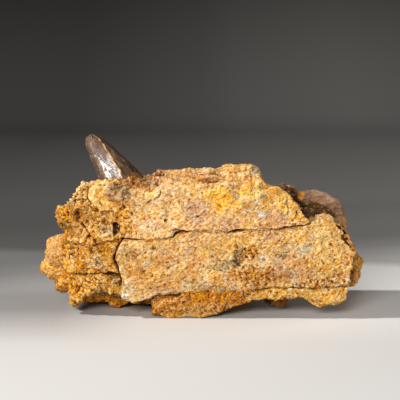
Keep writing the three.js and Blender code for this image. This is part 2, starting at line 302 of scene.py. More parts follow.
def crust(p, rough, seed):
    """Height in mm of weathered, sandy crust, how crumbly it is, 0 to 1, and how high each crumb
    stands, about 0.5 and 0 to 1. Broad swells and fine, streaked grit, plus, by `rough`, creased
    noise and two sizes of crumb. A crumb is a dome, 1 - 1.5 d^2 at a distance d from its middle,
    as high as its random number says. Noise first pushes the points about, so that none is
    round."""
    bent = p + 0.8 * np.stack([noise(p, 1.7, seed + k) for k in range(3)], axis=1)
    swell = layered(p, 10.0, 3, seed + 5)
    creased = np.abs(layered(bent, 3.6, 4, seed + 9, 0.66)) - 0.3
    far, knob = grains(streaked(bent), 2.7, seed + 20)
    near, crumb = grains(bent, 0.95, seed + 40)
    knobs = (0.1 + 1.3 * knob) * (1 - 1.5 * np.clip(far, 0, 0.8) ** 2) - 0.4
    crumbs = (0.25 + 1.1 * crumb) * (1 - 1.5 * np.clip(near, 0, 0.8) ** 2) - 0.4
    fine = layered(streaked(p), 0.9, 2, seed + 60, 0.8)
    crumbly = smooth_step(0.7, 1.25, rough + 0.5 * layered(p, 9.0, 3, seed + 70, 0.6))
    coarse = 0.95 * creased + 0.5 * knobs + 0.4 * crumbs
    height = 0.45 * swell - 0.25 + rough * (0.3 + 0.95 * crumbly) * coarse + 0.34 * fine
    return height, crumbly, 0.5 + 0.8 * coarse + 0.35 * (crumb - 0.5)


def pocks(p, size, share, seed):
    """0 to 1: small round pits. Only the cells whose grain lies nearest than `share` have one."""
    bent = p + 0.25 * size * np.stack([noise(p, size * 0.6, seed + k) for k in range(3)], axis=1)
    return 1 - smooth_step(share * 0.5, share, grains(bent, size, seed + 7)[0])


def cleft(p, points, width, seed=0, wander=0.45):
    """1 down the middle of a crack along [x, z] points and 0 beyond half its width. Noise bends
    the crack and narrows it in places."""
    x = p[:, 0] + wander * noise(p, 1.7, seed + 300) + wander * noise(p, 4.0, seed + 301)
    z = p[:, 2] + wander * noise(p, 1.6, seed + 302) + wander * noise(p, 3.7, seed + 303)
    away, along = line_distance(x, z, points)
    half = width / 2 * (0.85 + 0.5 * noise(p, 2.6, seed + 304)) * smooth_step(0, 0.1, along)
    half = np.maximum(half * (1 - smooth_step(0.93, 1, along)), 0.05)
    return 1 - smooth_step(0.35, 1.0, away / half)


# ---- Colours, linear ----

DEEP = (0.13, 0.048, 0.008)
RUST = (0.47, 0.175, 0.014)
OCHRE = (0.74, 0.37, 0.065)
CREAM = (0.93, 0.66, 0.26)
SAND = (0.90, 0.56, 0.15)
CALM = (0.86, 0.51, 0.165)
AMBER = (0.68, 0.28, 0.012)
GOLD = (0.88, 0.50, 0.075)
PALE = (0.80, 0.64, 0.40)
MOSS = (0.46, 0.36, 0.18)
WHITE = (0.90, 0.80, 0.64)
YELLOW = (0.93, 0.50, 0.035)
PINK = (0.72, 0.41, 0.22)
GREY = (0.36, 0.30, 0.22)
UMBER = (0.20, 0.105, 0.04)
SOOT = (0.12, 0.10, 0.075)
BUFF = (0.90, 0.63, 0.36)
FAWN = (0.46, 0.27, 0.12)
KHAKI = (0.52, 0.34, 0.12)
DRAB = (0.26, 0.165, 0.10)
COPPER = (0.80, 0.34, 0.02)
CHESTNUT = (0.34, 0.13, 0.015)
MARIGOLD = (1.0, 0.55, 0.07)
PIT_FLOOR = (0.34, 0.115, 0.012)
# DENT_MIDDLE, DENT_TOP and DENT_FOOT: dark olive moss colour with painted shade for the dent
DENT_MIDDLE = (0.24, 0.155, 0.055)
DENT_TOP = (0.24, 0.13, 0.035)
DENT_FOOT = (0.26, 0.17, 0.07)
RING_GROOVE = (0.20, 0.14, 0.07)
BREAK = (0.55, 0.21, 0.02)
BREAK_DEEP = (0.05, 0.02, 0.005)
# painted shade, near black, for the hollow between the two walls
HOLLOW_SHADE = (0.035, 0.014, 0.005)


def paint(under, over, weight):
    """`over` laid on `under` by `weight`, point by point."""
    weight = np.clip(np.broadcast_to(weight, len(under)), 0, 1)[:, None]
    return under * (1 - weight) + np.array(over) * weight


def coats(under, *rows):
    """Paints each (colour, weight) over the ones before it. `under` is one colour or a tint for
    each point."""
    if isinstance(under, tuple):
        under = np.tile(np.array(under), (len(rows[0][1]), 1))
    for over, weight in rows:
        under = paint(under, over, weight)
    return under


def patched(tint, p, patches, ragged):
    """Paints patches (x, z, half width, half height, colour, weight) with soft, ragged edges."""
    return coats(tint, *((colour, weight * spot(p, (x, z), (wide, high), 0.9, ragged))
                         for x, z, wide, high, colour, weight in patches))


def sandy(p, seed, cream, rust):
    """Ochre, turned cream or rust in cloudy patches: each colour is laid where its own noise is
    above a level set by its share. Faint pink and grey clouds lie over them."""
    return coats(
        OCHRE,
        (CREAM, smooth_step(0.45 - cream, 1.05 - cream, layered(p, 7.5, 4, seed, 0.7))),
        (RUST, 0.75 * smooth_step(0.75 - rust, 1.25 - rust, layered(p, 4.2, 4, seed + 50, 0.7))),
        (PINK, 0.35 * smooth_step(0.15, 0.7, layered(p, 12.0, 3, seed + 90, 0.6))),
        (GREY, 0.5 * smooth_step(0.45, 0.8, layered(p, 2.4, 2, seed + 130, 0.7))))


# ---- Pieces ----

def build(name, p, quads, caps=()):
    """A smooth mesh from points in mm, quads and the loops that close its ends."""
    sizes = np.concatenate([np.full(len(quads), 4), [len(cap) for cap in caps]]).astype(np.int32)
    corners = np.concatenate([quads.ravel(), *caps]).astype(np.int32)
    mesh = bpy.data.meshes.new(name)
    mesh.vertices.add(len(p))
    mesh.vertices.foreach_set("co", (p * MM).astype(np.float32).ravel())
    mesh.loops.add(len(corners))
    mesh.loops.foreach_set("vertex_index", corners)
    mesh.polygons.add(len(sizes))
    mesh.polygons.foreach_set("loop_start", np.cumsum(sizes, dtype=np.int32) - sizes)
    mesh.polygons.foreach_set("use_smooth", np.ones(len(sizes), bool))
    mesh.update(calc_edges=True)
    piece = bpy.data.objects.new(name, mesh)
    bpy.context.scene.collection.objects.link(piece)
    return piece


def store(piece, relief, tint, crumbly=1.0):
    """Keeps `relief` (0 in a crevice, 1 on a crest) and the linear colour `tint` on the points,
    with how crumbly the crust is in the colour's fourth value."""
    heights = piece.data.attributes.new("relief", "FLOAT", "POINT")
    heights.data.foreach_set("value", relief.astype(np.float32))
    colours = piece.data.attributes.new("tint", "FLOAT_COLOR", "POINT")
    rgba = np.concatenate([tint, np.broadcast_to(crumbly, len(tint))[:, None]], axis=1)
    colours.data.foreach_set("color", rgba.astype(np.float32).ravel())


def place(piece, node, finish):
    """The piece takes its finish, stands for a solid of the frame, which is hidden, and rides
    with the frame's root body.
    """
    piece.data.materials.append(FINISHES[finish])
    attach(piece, "root")
    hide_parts(node)


def weather(name, shape, node, finish, seed, rough, cream, rust, features=None, lumpy=0.8):
    """Turns a smooth shape into weathered rock or bone: pushed out by `lumps`, then by `crust`
    and its own features. The tint is `sandy`, calm where it isn't crumbly, amber to deep brown
    between crumbs, gold on them and pale on the highest. Relief compares each point's height
    with the mean height round it."""
    p, quads = shape
    p = p + lumpy * lumps(p)[:, None] * normals(p, quads)
    p = p + 0.5 * np.stack([layered(p, 5.0, 3, 500 + k, 0.6) for k in range(3)], axis=1)
    n = normals(p, quads)
    height, crumbly, crumb = crust(p, rough(p) if callable(rough) else rough, seed)
    tint = coats(
        sandy(p, seed, cream, rust),
        (CALM, 0.6 * (1 - crumbly)),
        (AMBER, (0.25 + 0.65 * crumbly) * smooth_step(0.45, 0.2, crumb)),
        (DEEP, 0.7 * crumbly * smooth_step(0.2, -0.1, crumb)),
        (GOLD, 0.5 * crumbly * smooth_step(0.5, 0.7, crumb)),
        (PALE, 0.6 * smooth_step(0.75, 0.95, crumb)))
    if features:
        height, tint = features(p, n, height, tint)
    relief = 0.5 + 0.5 * np.tanh((height - spread(height, quads, 9)) / 0.3)
    p = p + height[:, None] * n
    p[:, 2] = np.maximum(p[:, 2], 0)
    piece = build(name, p, quads)
    store(piece, relief, tint, crumbly)
    place(piece, node, finish)


def long_crack(x):
    """z of the long crack: straight stretches made ragged by three waves."""
    waves = 0.12 * np.sin(0.63 * x + 2) + 0.12 * np.sin(1.9 * x) + 0.08 * np.sin(4.3 * x + 1)
    return line(LONG_CRACK)(x) + waves


def above_crack(x):
    """The lower edge of what stands over the long crack: half its gap above its middle."""
    return long_crack(x) + line(CRACK_GAP)(x) / 2


def below_crack(x):
    """The upper edge of what lies under the long crack."""
    return long_crack(x) - line(CRACK_GAP)(x) / 2


def along_crack(p):
    """1 on the long crack, fading over half a millimetre."""
    return bell(p[:, 2] - long_crack(p[:, 0]), 0.5)


def front_facing(n, low=0.25):
    """1 where the surface looks to -Y, 0 where it looks up, down or away."""
    return smooth_step(low, 0.6, -n[:, 1])


def root_share(p):
    """1 on the bone round the root and 0 on the plate to its right."""
    return 1 - smooth_step(-40, -31, p[:, 0] + 2.5 * noise(p, 5.0, 77))


# ---- Upper part of the near wall: the bone round the root, and the plate ----

# Middle, half sizes, depth
ROOT_PITS = [((-60, 49.2), (1.9, 3.3), 4.5), ((-51.3, 52.5), (1.1, 1), 2.2),
             ((-41.7, 43), (1.4, 3.1), 4.5), ((-55, 38.9), (1.1, 1.2), 2.4),
             ((-37.8, 53.9), (1, 1), 1.8), ((-17.4, 47.4), (0.8, 0.8), 1.5),
             ((-12.6, 42.9), (1.8, 0.6), 2), ((-1.9, 49.7), (1.3, 0.6), 1.4),
             ((-58, 62), (1.2, 0.8), 1.6), ((-47.5, 47), (0.9, 1.3), 1.6)]
BULB = ((-46.8, 58.8), (8.8, 7.4))
RIDGE = [(-56.6, 45), (-49.8, 36)]  # the raised edge right of the left cleft
CHIP = [(-27.2, 60.7), (-24.1, 63.3), (-21.2, 63.4), (-20, 60), (-22.3, 57.8), (-26.5, 56),
        (-27.8, 58.3)]
# Points from end to end, width, depth
UPPER_CLEFTS = [([(-59, 46.6), (-57.4, 44.5), (-53.6, 39.4), (-50, 34.2)], 1.7, 2.6),
                ([(-62.3, 56.4), (-58.8, 57.3), (-56.4, 57.7)], 1.1, 2.2),
                ([(-55.2, 66), (-55.6, 62), (-55, 57.3), (-51.6, 52.8)], 1.3, 2),
                ([(-19.8, 62), (-20, 59.6), (-22.7, 57.4), (-27.6, 55.4)], 0.9, 2),
                ([(-15.2, 57), (-15.4, 53.7)], 0.6, 1.2),
                ([(-35.8, 48.4), (-33, 48.6), (-30.6, 49.2)], 0.7, 1.2),
                ([(40.6, 55.4), (41.8, 52.4), (41.4, 50)], 0.9, 1.6),
                ([(45.8, 52.6), (45.2, 49.6), (43.6, 46.8)], 1.1, 2),
                ([(-64, 46.6), (-64.9, 41.6), (-67, 36.3)], 1.2, 1.8)]
# x, z, half width, half height, colour, weight
UPPER_PATCHES = [(7.7, 57.8, 6.4, 6.2, YELLOW, 0.85), (12.5, 55, 7, 4, YELLOW, 0.45),
                 (23.8, 60.2, 6.5, 3.2, CREAM, 0.8), (21.5, 60.4, 5.5, 2.6, YELLOW, 0.5),
                 (25, 62.4, 4, 1.6, YELLOW, 0.4), (-1, 51.2, 6.5, 6, PINK, 0.75),
                 (34, 48.2, 6.5, 4.6, PINK, 0.85), (-18, 66.5, 5, 3, PINK, 0.6),
                 (11, 46.5, 8, 3, PINK, 0.6), (26.5, 56.3, 1.1, 0.9, WHITE, 0.9),
                 (29.2, 50.2, 1.8, 1, WHITE, 0.9), (14.9, 63.9, 1.5, 1.2, GREY, 0.8),
                 (15.4, 60.8, 1.2, 1.1, GREY, 0.7), (17.5, 58.6, 1.1, 1, GREY, 0.6),
                 (28.6, 63.4, 1.2, 1.1, SOOT, 0.7), (29.4, 59, 1.4, 1.2, SOOT, 0.75),
                 (37.3, 60.4, 1.3, 1, SOOT, 0.7), (40.6, 56, 1.1, 1, SOOT, 0.75),
                 (36.8, 52.2, 1, 0.8, SOOT, 0.7), (35, 61.6, 3.6, 1.6, AMBER, 0.8),
                 (35, 55.6, 1.6, 0.9, PALE, 0.8), (45, 53.4, 2.4, 1.8, RUST, 0.55),
                 (33, 57.4, 3, 1.4, AMBER, 0.6), (20.5, 54, 1, 0.8, GREY, 0.6),
                 (-51.6, 58.5, 4, 5.6, SAND, 0.5), (-46, 66.3, 8, 1.6, SAND, 0.7),
                 (-39.2, 60.2, 5.8, 6, FAWN, 0.6), (-41.2, 58.2, 2.2, 0.6, PALE, 0.7),
                 (-41.6, 63.4, 3, 1.6, UMBER, 0.65), (-36.5, 60, 2.2, 2, UMBER, 0.5),
                 (-38, 54.6, 3.6, 2, AMBER, 0.8), (-24, 59.8, 3.6, 2.8, CREAM, 0.55),
                 (-23, 53.5, 6, 3.5, CREAM, 0.5), (-60, 50, 4.5, 6, RUST, 0.6),
                 (-50, 48.5, 9, 3, RUST, 0.55), (-30, 66.5, 8, 4.2, RUST, 0.85),
                 (-61.5, 41.2, 2.6, 3.6, PINK, 0.6), (-29, 68, 5, 2.4, DEEP, 0.5),
                 (-47, 42.5, 4, 3, PALE, 0.4)]


def plate_face(x, z):
    """y of the plate, which leans back from the long crack."""
    return FACE + PLATE_LEAN * np.maximum(0, z - long_crack(x))


def upper_front(x, z):
    """The plate leans back; the bone round the root bulges by two shallow parabolas."""
    plate = plate_face(x, z)
    root = ROOT_FACE + 0.004 * (z - 50) ** 2 + 0.01 * (x + 48) ** 2
    return plate + (root - plate) * (1 - smooth_step(-41, -32, x))


def upper_back(x, z):
    """The plate is a little thinner than the wall below it; behind the root its back is upright."""
    plate = plate_face(x, z) + NEAR_WALL - THINNER
    return plate + (-8 - plate) * (1 - smooth_step(-41, -28, x))


def upper_rough(p):
    """Smooth on the plate and the bulb, coarse round the root and at the right end."""
    plate = 0.5 + 0.35 * smooth_step(22, 46, p[:, 0]) + 0.12 * noise(p, 9.0, 55)
    rough = plate + (1.5 - plate) * root_share(p)
    rough = rough + 0.9 * spot(p, (-29, 67), (10, 5), 0.8)
    return rough * (1 - 0.5 * spot(p, *BULB, 0.3))


def pit(p, height, tint, share=1.0):
    """The pits of the root are cut in, and the deep ones have dark brown floors."""
    for middle, half, depth in ROOT_PITS:
        hole = share * spot(p, middle, half, 0.6, 0.25)
        height = height - depth * hole
        tint = paint(tint, PIT_FLOOR, 0.2 * depth * hole)
    return height, tint


def upper_features(p, n, height, tint):
    """The bulb is a dome, (1 - r^3)^0.5, in a groove, with a hollow and a lip beside it. The
    chip and the ridge stand out and the clefts and pocks are cut in, on the face alone. Heights
    fade where the wall looks down into the long crack, so that it stays open."""
    x, _, z = p.T
    facing = front_facing(n)
    reach = np.hypot((x - BULB[0][0]) / BULB[1][0], (z - BULB[0][1]) / BULB[1][1])
    reach = reach + 0.12 * layered(p, 5.0, 2, 88)
    left_side = smooth_step(-41, -50, x)
    added = (0.8 + left_side) * np.clip(1 - reach ** 3, 0, 1) ** 0.5
    added -= 0.5 * left_side * bell(reach - 1.12, 0.12)
    added -= spot(p, (-40, 60.6), (4.2, 4.4), 1.0, 0.4)
    added += 0.9 * spot(p, (-45.5, 66.2), (7.5, 1.2), 0.8)
    added += 0.55 * inside(x + 0.3 * noise(p, 2.0, 5), z + 0.3 * noise(p, 2.0, 6), CHIP)
    ridge = line_distance(x, z, RIDGE)[0]
    added += bell(ridge, 0.8)
    for k, (points, width, depth) in enumerate(UPPER_CLEFTS):
        added -= depth * cleft(p, points, width, 10 * k)
    root = root_share(p)
    added -= (0.35 + 0.5 * root) * pocks(p, 4.2, 0.2, 31)
    tint = coats(
        tint,
        (BUFF, 0.6 * (1 - root) * smooth_step(6, -14, x) * (0.6 + 0.5 * noise(p, 8.0, 66))),
        (GOLD, 0.5 * smooth_step(20, 34, x) * smooth_step(46, 52, z)),
        (MARIGOLD, 0.6 * root * smooth_step(64, 50, z)))
    added, tint = pit(p, added, patched(tint, p, UPPER_PATCHES, 0.3))
    seam = along_crack(p) * facing
    added -= (0.4 + 0.5 * root) * seam
    # DEEP is painted shade in the left cleft and along the long crack
    tint = coats(tint, (COPPER, 0.8 * bell(ridge, 0.7)),
                 (DEEP, 0.9 * cleft(p, *UPPER_CLEFTS[0][:2], 0)), (DEEP, 0.85 * seam))
    shut = smooth_step(0.3, 0.8, -n[:, 2])
    return (height + facing * added) * (1 - 0.7 * shut), tint


def upper_wall():
    """The near wall from the long crack up to the shoulder under the crest."""
    return block(-65.0, 52.0, above_crack, SHOULDER, upper_front, upper_back, 0.9, slope=0.1)


def crest():
    """The crest: a low wall on the shoulder, set back from it, that leans back as it rises."""
    return block(-24.0, 31.5, 56.0, CREST, lambda x, z: -22.5 + 0.2 * (z - 65), -10.0, 1.0,
                 slope=0.13)


def crest_rough(p):
    """Rough at the broken left end."""
    return 0.68 + 0.9 * smooth_step(-17, -22, p[:, 0])


def crest_features(p, n, height, tint):
    """A lump at the right end, drab grey-brown darkened further as painted shade, with a notch at
    its foot, a clump low in the middle with rust-brown painted shade under it, and a rusty broken
    edge at the left."""
    facing = front_facing(n, 0.2)
    height = height + 0.8 * spot(p, (25.5, 71.2), (3.2, 3.4), 0.4)
    height += 1.3 * facing * spot(p, (3.6, 67.4), (4.4, 1.5), 0.9, 0.4)
    height -= 1.3 * facing * cleft(p, [(23.4, 69.4), (23.8, 67.6), (24.4, 65.8)], 1.4, 3)
    # CHESTNUT is painted shade under the clump; DRAB is grey-brown with painted shade
    return height, coats(
        tint,
        (CHESTNUT, 0.8 * spot(p, (3.2, 66.6), (4.8, 1.2), 0.8, 0.5)),
        (DRAB, 0.75 * spot(p, (26.6, 70.6), (3.2, 4), 0.6, 0.3)),
        (RUST, 0.7 * spot(p, (28.6, 66.8), (2.6, 2.6), 0.8, 0.3)),
        (RUST, 0.85 * smooth_step(-18, -23, p[:, 0] + 1.5 * noise(p, 3.0, 61))),
        (PINK, 0.35 * spot(p, (-4, 69.5), (15, 3), 0.8, 0.3)))


# ---- Lower part of the near wall ----

# Dents, clefts and patches are listed as those of the upper part are
LOWER_DENTS = [((18.3, 30.6), (3.2, 5), 1.2), ((16, 27), (2.4, 2.8), 0.7),
               ((-34.4, 31.5), (3.4, 3), 0.9), ((39, 30.5), (2.6, 1.6), 0.6),
               ((38, 22), (6, 3.6), 0.7), ((-23, 27), (3, 2), 0.4)]
LOWER_CLEFTS = [([(63.6, 48), (65.4, 46), (67.6, 44), (70.4, 41.4)], 3.2, 3.4),
                ([(66.8, 40.2), (68.8, 38.6), (71, 36.8), (74.4, 32.6)], 4.4, 3),
                ([(31.4, 35.6), (29, 34), (27.6, 34.4)], 0.8, 1.3),
                ([(48.2, 44.4), (48.4, 42.6)], 0.7, 1.3),
                ([(57.6, 28.6), (58.8, 26.4)], 0.9, 1.4),
                ([(43, 33.8), (40.6, 31.4)], 0.6, 1),
                ([(12, 13.2), (19, 13), (26, 13.4)], 0.9, 1.8)]
BROKEN_CORNER = 3  # clefts wider than this, in mm, are breaks with rusty sides and dark floors
# Centre of the rings, and the ellipse that shows
ARCS = [((8.8, 22.4), (8.4, 26.2), (4.8, 3)), ((-0.6, 14.6), (-0.6, 16.6), (2.2, 1.7)),
        ((5.8, 14.6), (5.6, 16.6), (2, 1.7))]
ARC_SPACING = 1.5
LOWER_PATCHES = [(-36, 12.6, 3.8, 4.4, PALE, 0.95), (-32, 9.6, 3, 2, CREAM, 0.8),
                 (-34.2, 31, 4, 4.5, KHAKI, 0.6), (-33, 30, 2, 2.4, RUST, 0.6),
                 # the dent's dark olive patches: moss colour with painted shade
                 (17.2, 30.2, 2.4, 4.8, DENT_MIDDLE, 0.8), (20.4, 34, 3, 1, DENT_TOP, 0.8),
                 (15.4, 26.4, 2.6, 2.2, DENT_FOOT, 0.7), (10, 26.6, 5, 3.4, MOSS, 0.6),
                 (20, 37.5, 8, 3.4, GOLD, 0.5), (24.6, 32, 2.8, 2.6, AMBER, 0.8),
                 (20.6, 25.4, 5, 1.4, PALE, 0.6), (33, 40.5, 4, 2.6, PINK, 0.6),
                 (-8, 33, 14, 6.5, PINK, 0.3), (6, 33.5, 9, 5, GOLD, 0.4),
                 (13.6, 14.9, 5, 0.7, WHITE, 0.85), (-9.5, 36.2, 1.2, 0.8, WHITE, 0.8),
                 (-5.4, 32.6, 1, 0.8, WHITE, 0.8), (24, 20.5, 9, 3.2, AMBER, 0.75),
                 (38, 21, 7, 4.2, RUST, 0.65), (39, 31, 3, 2, MOSS, 0.8), (54, 37.5, 12, 6, CREAM, 0.45),
                 (36.5, 27.5, 3, 2, MOSS, 0.6), (49, 33, 4, 2.4, MOSS, 0.5), (56, 22, 5, 3, MOSS, 0.45),
                 (-1, 16.8, 9, 2.4, MOSS, 0.35), (71, 45, 3.6, 3.2, AMBER, 0.9),
                 (71.5, 39.5, 2.6, 2.4, AMBER, 0.8), (64, 49, 2, 1, PALE, 0.7),
                 (-22, 20, 14, 7, AMBER, 0.3), (45, 25, 10, 6, PINK, 0.4), (60, 27, 8, 7, GOLD, 0.4),
                 (10, 13, 13, 2.6, RUST, 0.85), (2, 14, 16, 2.2, MOSS, 0.4), (-16, 12.8, 14, 2, PINK, 0.5),
                 (-20, 37, 9, 1.8, GOLD, 0.4)]


def lower_rough(p):
    """Smooth at the left, rougher to the right and in the dark dent and the rusty foot."""
    x, _, z = p.T
    return (0.62 + 0.16 * smooth_step(10, 50, x) + 0.25 * smooth_step(24, 13, z) * smooth_step(-8, 12, x)
            + 0.12 * noise(p, 9.0, 56) + 0.9 * spot(p, (23, 32), (3.5, 3.6), 1.0)
            + 0.7 * spot(p, (24, 21), (10, 4.5), 1.2))


def lower_features(p, n, height, tint):
    """Shallow dents, clefts and pocks, worn rings, (0.5 + 0.5 cos)^2 of the distance from each
    centre, the broken corners at the right, rusty with dark floors, and painted shade along the
    long crack and the foot. Heights fade on the edges that the cracks lie against."""
    x, _, z = p.T
    facing = front_facing(n)
    added = -0.4 * pocks(p, 4.6, 0.2, 41)
    for middle, half, depth in LOWER_DENTS:
        added -= depth * spot(p, middle, half, 1.2, 0.3)
    tint = patched(tint, p, LOWER_PATCHES, 0.35)
    for k, (points, width, depth) in enumerate(LOWER_CLEFTS):
        gash = cleft(p, points, width, 200 + 10 * k)
        added -= depth * gash
        if width > BROKEN_CORNER:
            tint = coats(tint, (BREAK, 0.8 * smooth_step(0.05, 0.5, gash)),
                         (BREAK_DEEP, 0.8 * gash * smooth_step(0.2, -0.3, noise(p, 1.8, 47))))
    for centre, middle, half in ARCS:
        rings = np.hypot(x - centre[0], z - centre[1]) + 0.45 * noise(p, 2.2, 43)
        groove = (0.5 + 0.5 * np.cos(2 * np.pi * rings / ARC_SPACING)) ** 2
        groove = groove * spot(p, middle, half, 0.6, 0.4) * smooth_step(-0.3, 0.2, noise(p, 1.6, 45))
        added -= 0.5 * groove
        tint = paint(tint, RING_GROOVE, 0.6 * groove)
    foot = bell(z - (line(LOWER_EDGE)(x) + 0.2), 0.5)
    seam = (along_crack(p) * (x < 51) + 0.8 * foot) * facing
    added -= 0.35 * seam
    # painted shade along the long crack and the foot
    tint = paint(tint, DEEP, 0.8 * seam)
    shut = np.maximum(smooth_step(0.3, 0.8, n[:, 2]) * (x < 53), smooth_step(0.4, 0.9, -n[:, 0]))
    return (height + facing * added) * (1 - 0.7 * shut), tint


def lower_wall():
    """The near wall under the long crack, right of the upright crack."""
    return block([(z, x + 0.45) for z, x in UPRIGHT_CRACK], LOWER_END, LOWER_EDGE, below_crack,
                 lambda x, z: FACE - 1.5 + 0.05 * np.maximum(0, z - 20), FACE + NEAR_WALL, 0.8)


# ---- Rock ----

CRUMB_RUST = (0.34, 0.13, 0.012)
# rust orange, brightened as painted bounce light from the floor
UNDER_RUST_AND_BOUNCE = (1.0, 0.40, 0.035)
UNDER_BROWN = (0.10, 0.04, 0.01)
FOOT_RUST = (0.70, 0.28, 0.05)
NOTCH_BROWN = (0.16, 0.06, 0.012)
COLLAR_RED = (0.56, 0.23, 0.03)
LOBE_TAN = (0.72, 0.41, 0.17)
LOBE_ORANGE = (0.92, 0.48, 0.13)
# rusty brown, laid low on the lobes as painted shade
LOBE_BASE_SHADE = (0.42, 0.17, 0.03)
SIDE_ORANGE = (1.0, 0.52, 0.14)
SIDE_BROWN = (0.34, 0.15, 0.06)
KNOB_RUST = (0.26, 0.10, 0.015)
KNOB_DARK = (0.05, 0.02, 0.006)


def left_front(at):
    """The left end's face, which curves back to the left by a shallow parabola."""
    return lambda x, z: at + 0.02 * np.minimum(0, x + 48) ** 2


def left_upper():
    """The rock left of the upright crack, from the ledge up to the long crack."""
    return block([(18, -65.4), (24, -69.8), (28, -70.4), (33, -70.6), (37, -69)],
                 [(z, x - 0.5) for z, x in UPRIGHT_CRACK],
                 [(-70, 20.4), (-60, 20.2), (-56, 20.7), (-52, 21.1), (-48, 21.7), (-44, 21.9),
                  (-41, 21.3), (-38, 22.2)],
                 below_crack, left_front(-28.5), 0.0, 1.0)


def left_features(p, n, height, tint):
    """Rusty, with a pale patch, and painted shade along the long crack at its top."""
    seam = along_crack(p) * smooth_step(0.1, 0.5, -n[:, 1])
    return height - 0.6 * seam, coats(
        tint, (AMBER, 0.2), (PALE, 0.5 * spot(p, (-52, 27), (5, 3), 1.0, 0.4)), (DEEP, 0.9 * seam))


def left_lower():
    """The rock under the ledge, with a dark gap to the plate at its right."""
    return block(-66.0, [(11, -36), (15, -39.3), (20, -40.2)],
                 [(-66, 9), (-63, 3.6), (-61, 4.8), (-57.5, 9), (-47, 12), (-36, 9)],
                 [(-66, 20.1), (-58, 19.9), (-53, 20.4), (-48.5, 20.6), (-47, 19.6), (-44, 19.1),
                  (-41, 18.8), (-38, 19.2)], left_front(-27.5), -4.0, 0.9)


def left_under():
    """The broken underside of the left end, which slopes back and down."""
    return block(-62.0, -20.0, [(-62, 3.2), (-55, 4.2), (-50, 3.6), (-47, 3), (-42.5, 0.6),
                                (-36, 2.8), (-20, 2)],
                 18.0, lambda x, z: -12 - 0.9 * np.maximum(0, z - 4), 18.0, 2.0, 0.6)


def slab_top(x):
    """The slab's top, under the plate's lower edge: a gap at the left, tucked in to the right."""
    gap = line([(-25, 1.4), (-22, 2.3), (-11, 2), (-8, -1), (24, -1)])
    return line(LOWER_EDGE)(x) - gap(x)


def foot_slab():
    """The front of the foot: a slab that rests on the ground and thins out to the right."""
    return block(-24.8, 24.0, [(-24.5, 2), (-19, 0.8), (-15, -0.2), (-2.5, -0.2), (3, 0.8),
                               (9, 2.1), (14.5, 5), (24, 8)], slab_top, -31.5, -8.0, 1.0)


def foot_base():
    """The foot behind the slab, cut back at the right."""
    return block(-24.0, 23.0, -1.5, 14.0, [(-24, -26), (0, -27), (9, -20), (15, -9), (23, 6)],
                 25.0, 2.0, 0.6)


def shelf():
    """The ledge of rock under the plate's right half."""
    return block(20.0, [(8, 70.5), (11.6, 69.2), (15, 71.2)],
                 [(20, 8), (31.5, 8.6), (40.7, 9.7), (46.7, 10.5), (50, 9.3), (53, 6.8),
                  (56.3, 5), (61, 6.3), (67, 7), (71, 9.9)],
                 lambda x: line(LOWER_EDGE)(x) - 0.1, -32.0, 8.0, 0.8)


def fill():
    """The rock between the two walls, whose top dips into a hollow at the right."""
    return block([(12, -62), (28, -67), (38, -62), (48, -58)], [(15, 68), (26, 74), (38, 69)],
                 [(-66, 12), (-40, 6), (20, 6), (50, 10), (73, 15)],
                 [(-66, 46), (-58, 58), (-50, 62), (-36, 64.5), (-28, 64), (-10, 67),
                  (20, 66), (28, 60), (34, 50), (56, 45), (73, 38)], -20.0, 20.0, 2.0, 0.62)


def back_rim():
    """Rock along the foot of the far wall, highest at its left end."""
    return block([(12, -58), (24, -64), (44, -60)], 70.0,
                 [(-64, 12), (-24, 4), (24, 5), (70, 12)],
                 [(-64, 46), (-54, 36), (-44, 22), (-20, 19), (30, 16), (70, 22)],
                 4.0, [(-64, 22), (-50, 28), (0, 29), (50, 28), (70, 24)], 3.0, 0.6)


def fill_features(p, n, height, tint):
    """Painted near-black shade in the hollow between the two walls, pitted and set with orange
    crumbs, and brown behind the root."""
    x, _, z = p.T
    hollow = smooth_step(18, 30, x) * smooth_step(38, 44, z)
    height = height - 1.8 * hollow * pocks(p, 2.8, 0.5, 87)
    return height, coats(
        tint, (HOLLOW_SHADE, 0.95 * hollow),
        (CRUMB_RUST, 0.9 * hollow * smooth_step(0.3, 0.6, noise(p, 1.7, 89))),
        (DEEP, 0.6 * smooth_step(-58, -50, x) * smooth_step(-24, -34, x)))


def painted_underside_shade(p, n, height, tint):
    """Painted shade: darker where the rock looks down."""
    return height, paint(tint, UMBER, 0.7 * smooth_step(0.0, 0.7, -n[:, 2]))


def rust_and_bounce_under(p, n, height, tint):
    """Rust-orange, brightened as painted bounce light from the floor, with brown patches: the
    broken underside of the left end.
    """
    return height, coats(tint, (UNDER_RUST_AND_BOUNCE, 0.8),
                         (UNDER_BROWN, 0.8 * smooth_step(0.2, 0.6, layered(p, 4.0, 2, 93))))


def level_foot(p, n, height, tint):
    """The foot is cut flat where it rests, so the crust fades towards z = 0. It is rusty above,
    with a brown notch at the right, and mossy below."""
    tint = coats(
        tint,
        (FOOT_RUST, 0.5 + 0.2 * smooth_step(-8, 2, p[:, 0])),
        (MOSS, 0.4 * spot(p, (0, 3), (18, 3.4), 1.0, 0.3)),
        (NOTCH_BROWN, 0.85 * spot(p, (22.5, 11.4), (3.6, 1.4), 0.8, 0.3)),
        (AMBER, 0.6 * spot(p, (3, 10.6), (10, 2.6), 1.0, 0.4)))
    return painted_underside_shade(p, n, height * smooth_step(0.2, 3.0, p[:, 2]), tint)


def pitted_lobe(p, n, height, tint):
    """Amber crumbs, and the pits that run on from the bone beside it."""
    height, tint = pit(p, height, paint(tint, AMBER, 0.4), smooth_step(0.1, 0.5, -n[:, 1]))
    return painted_underside_shade(p, n, height, tint)


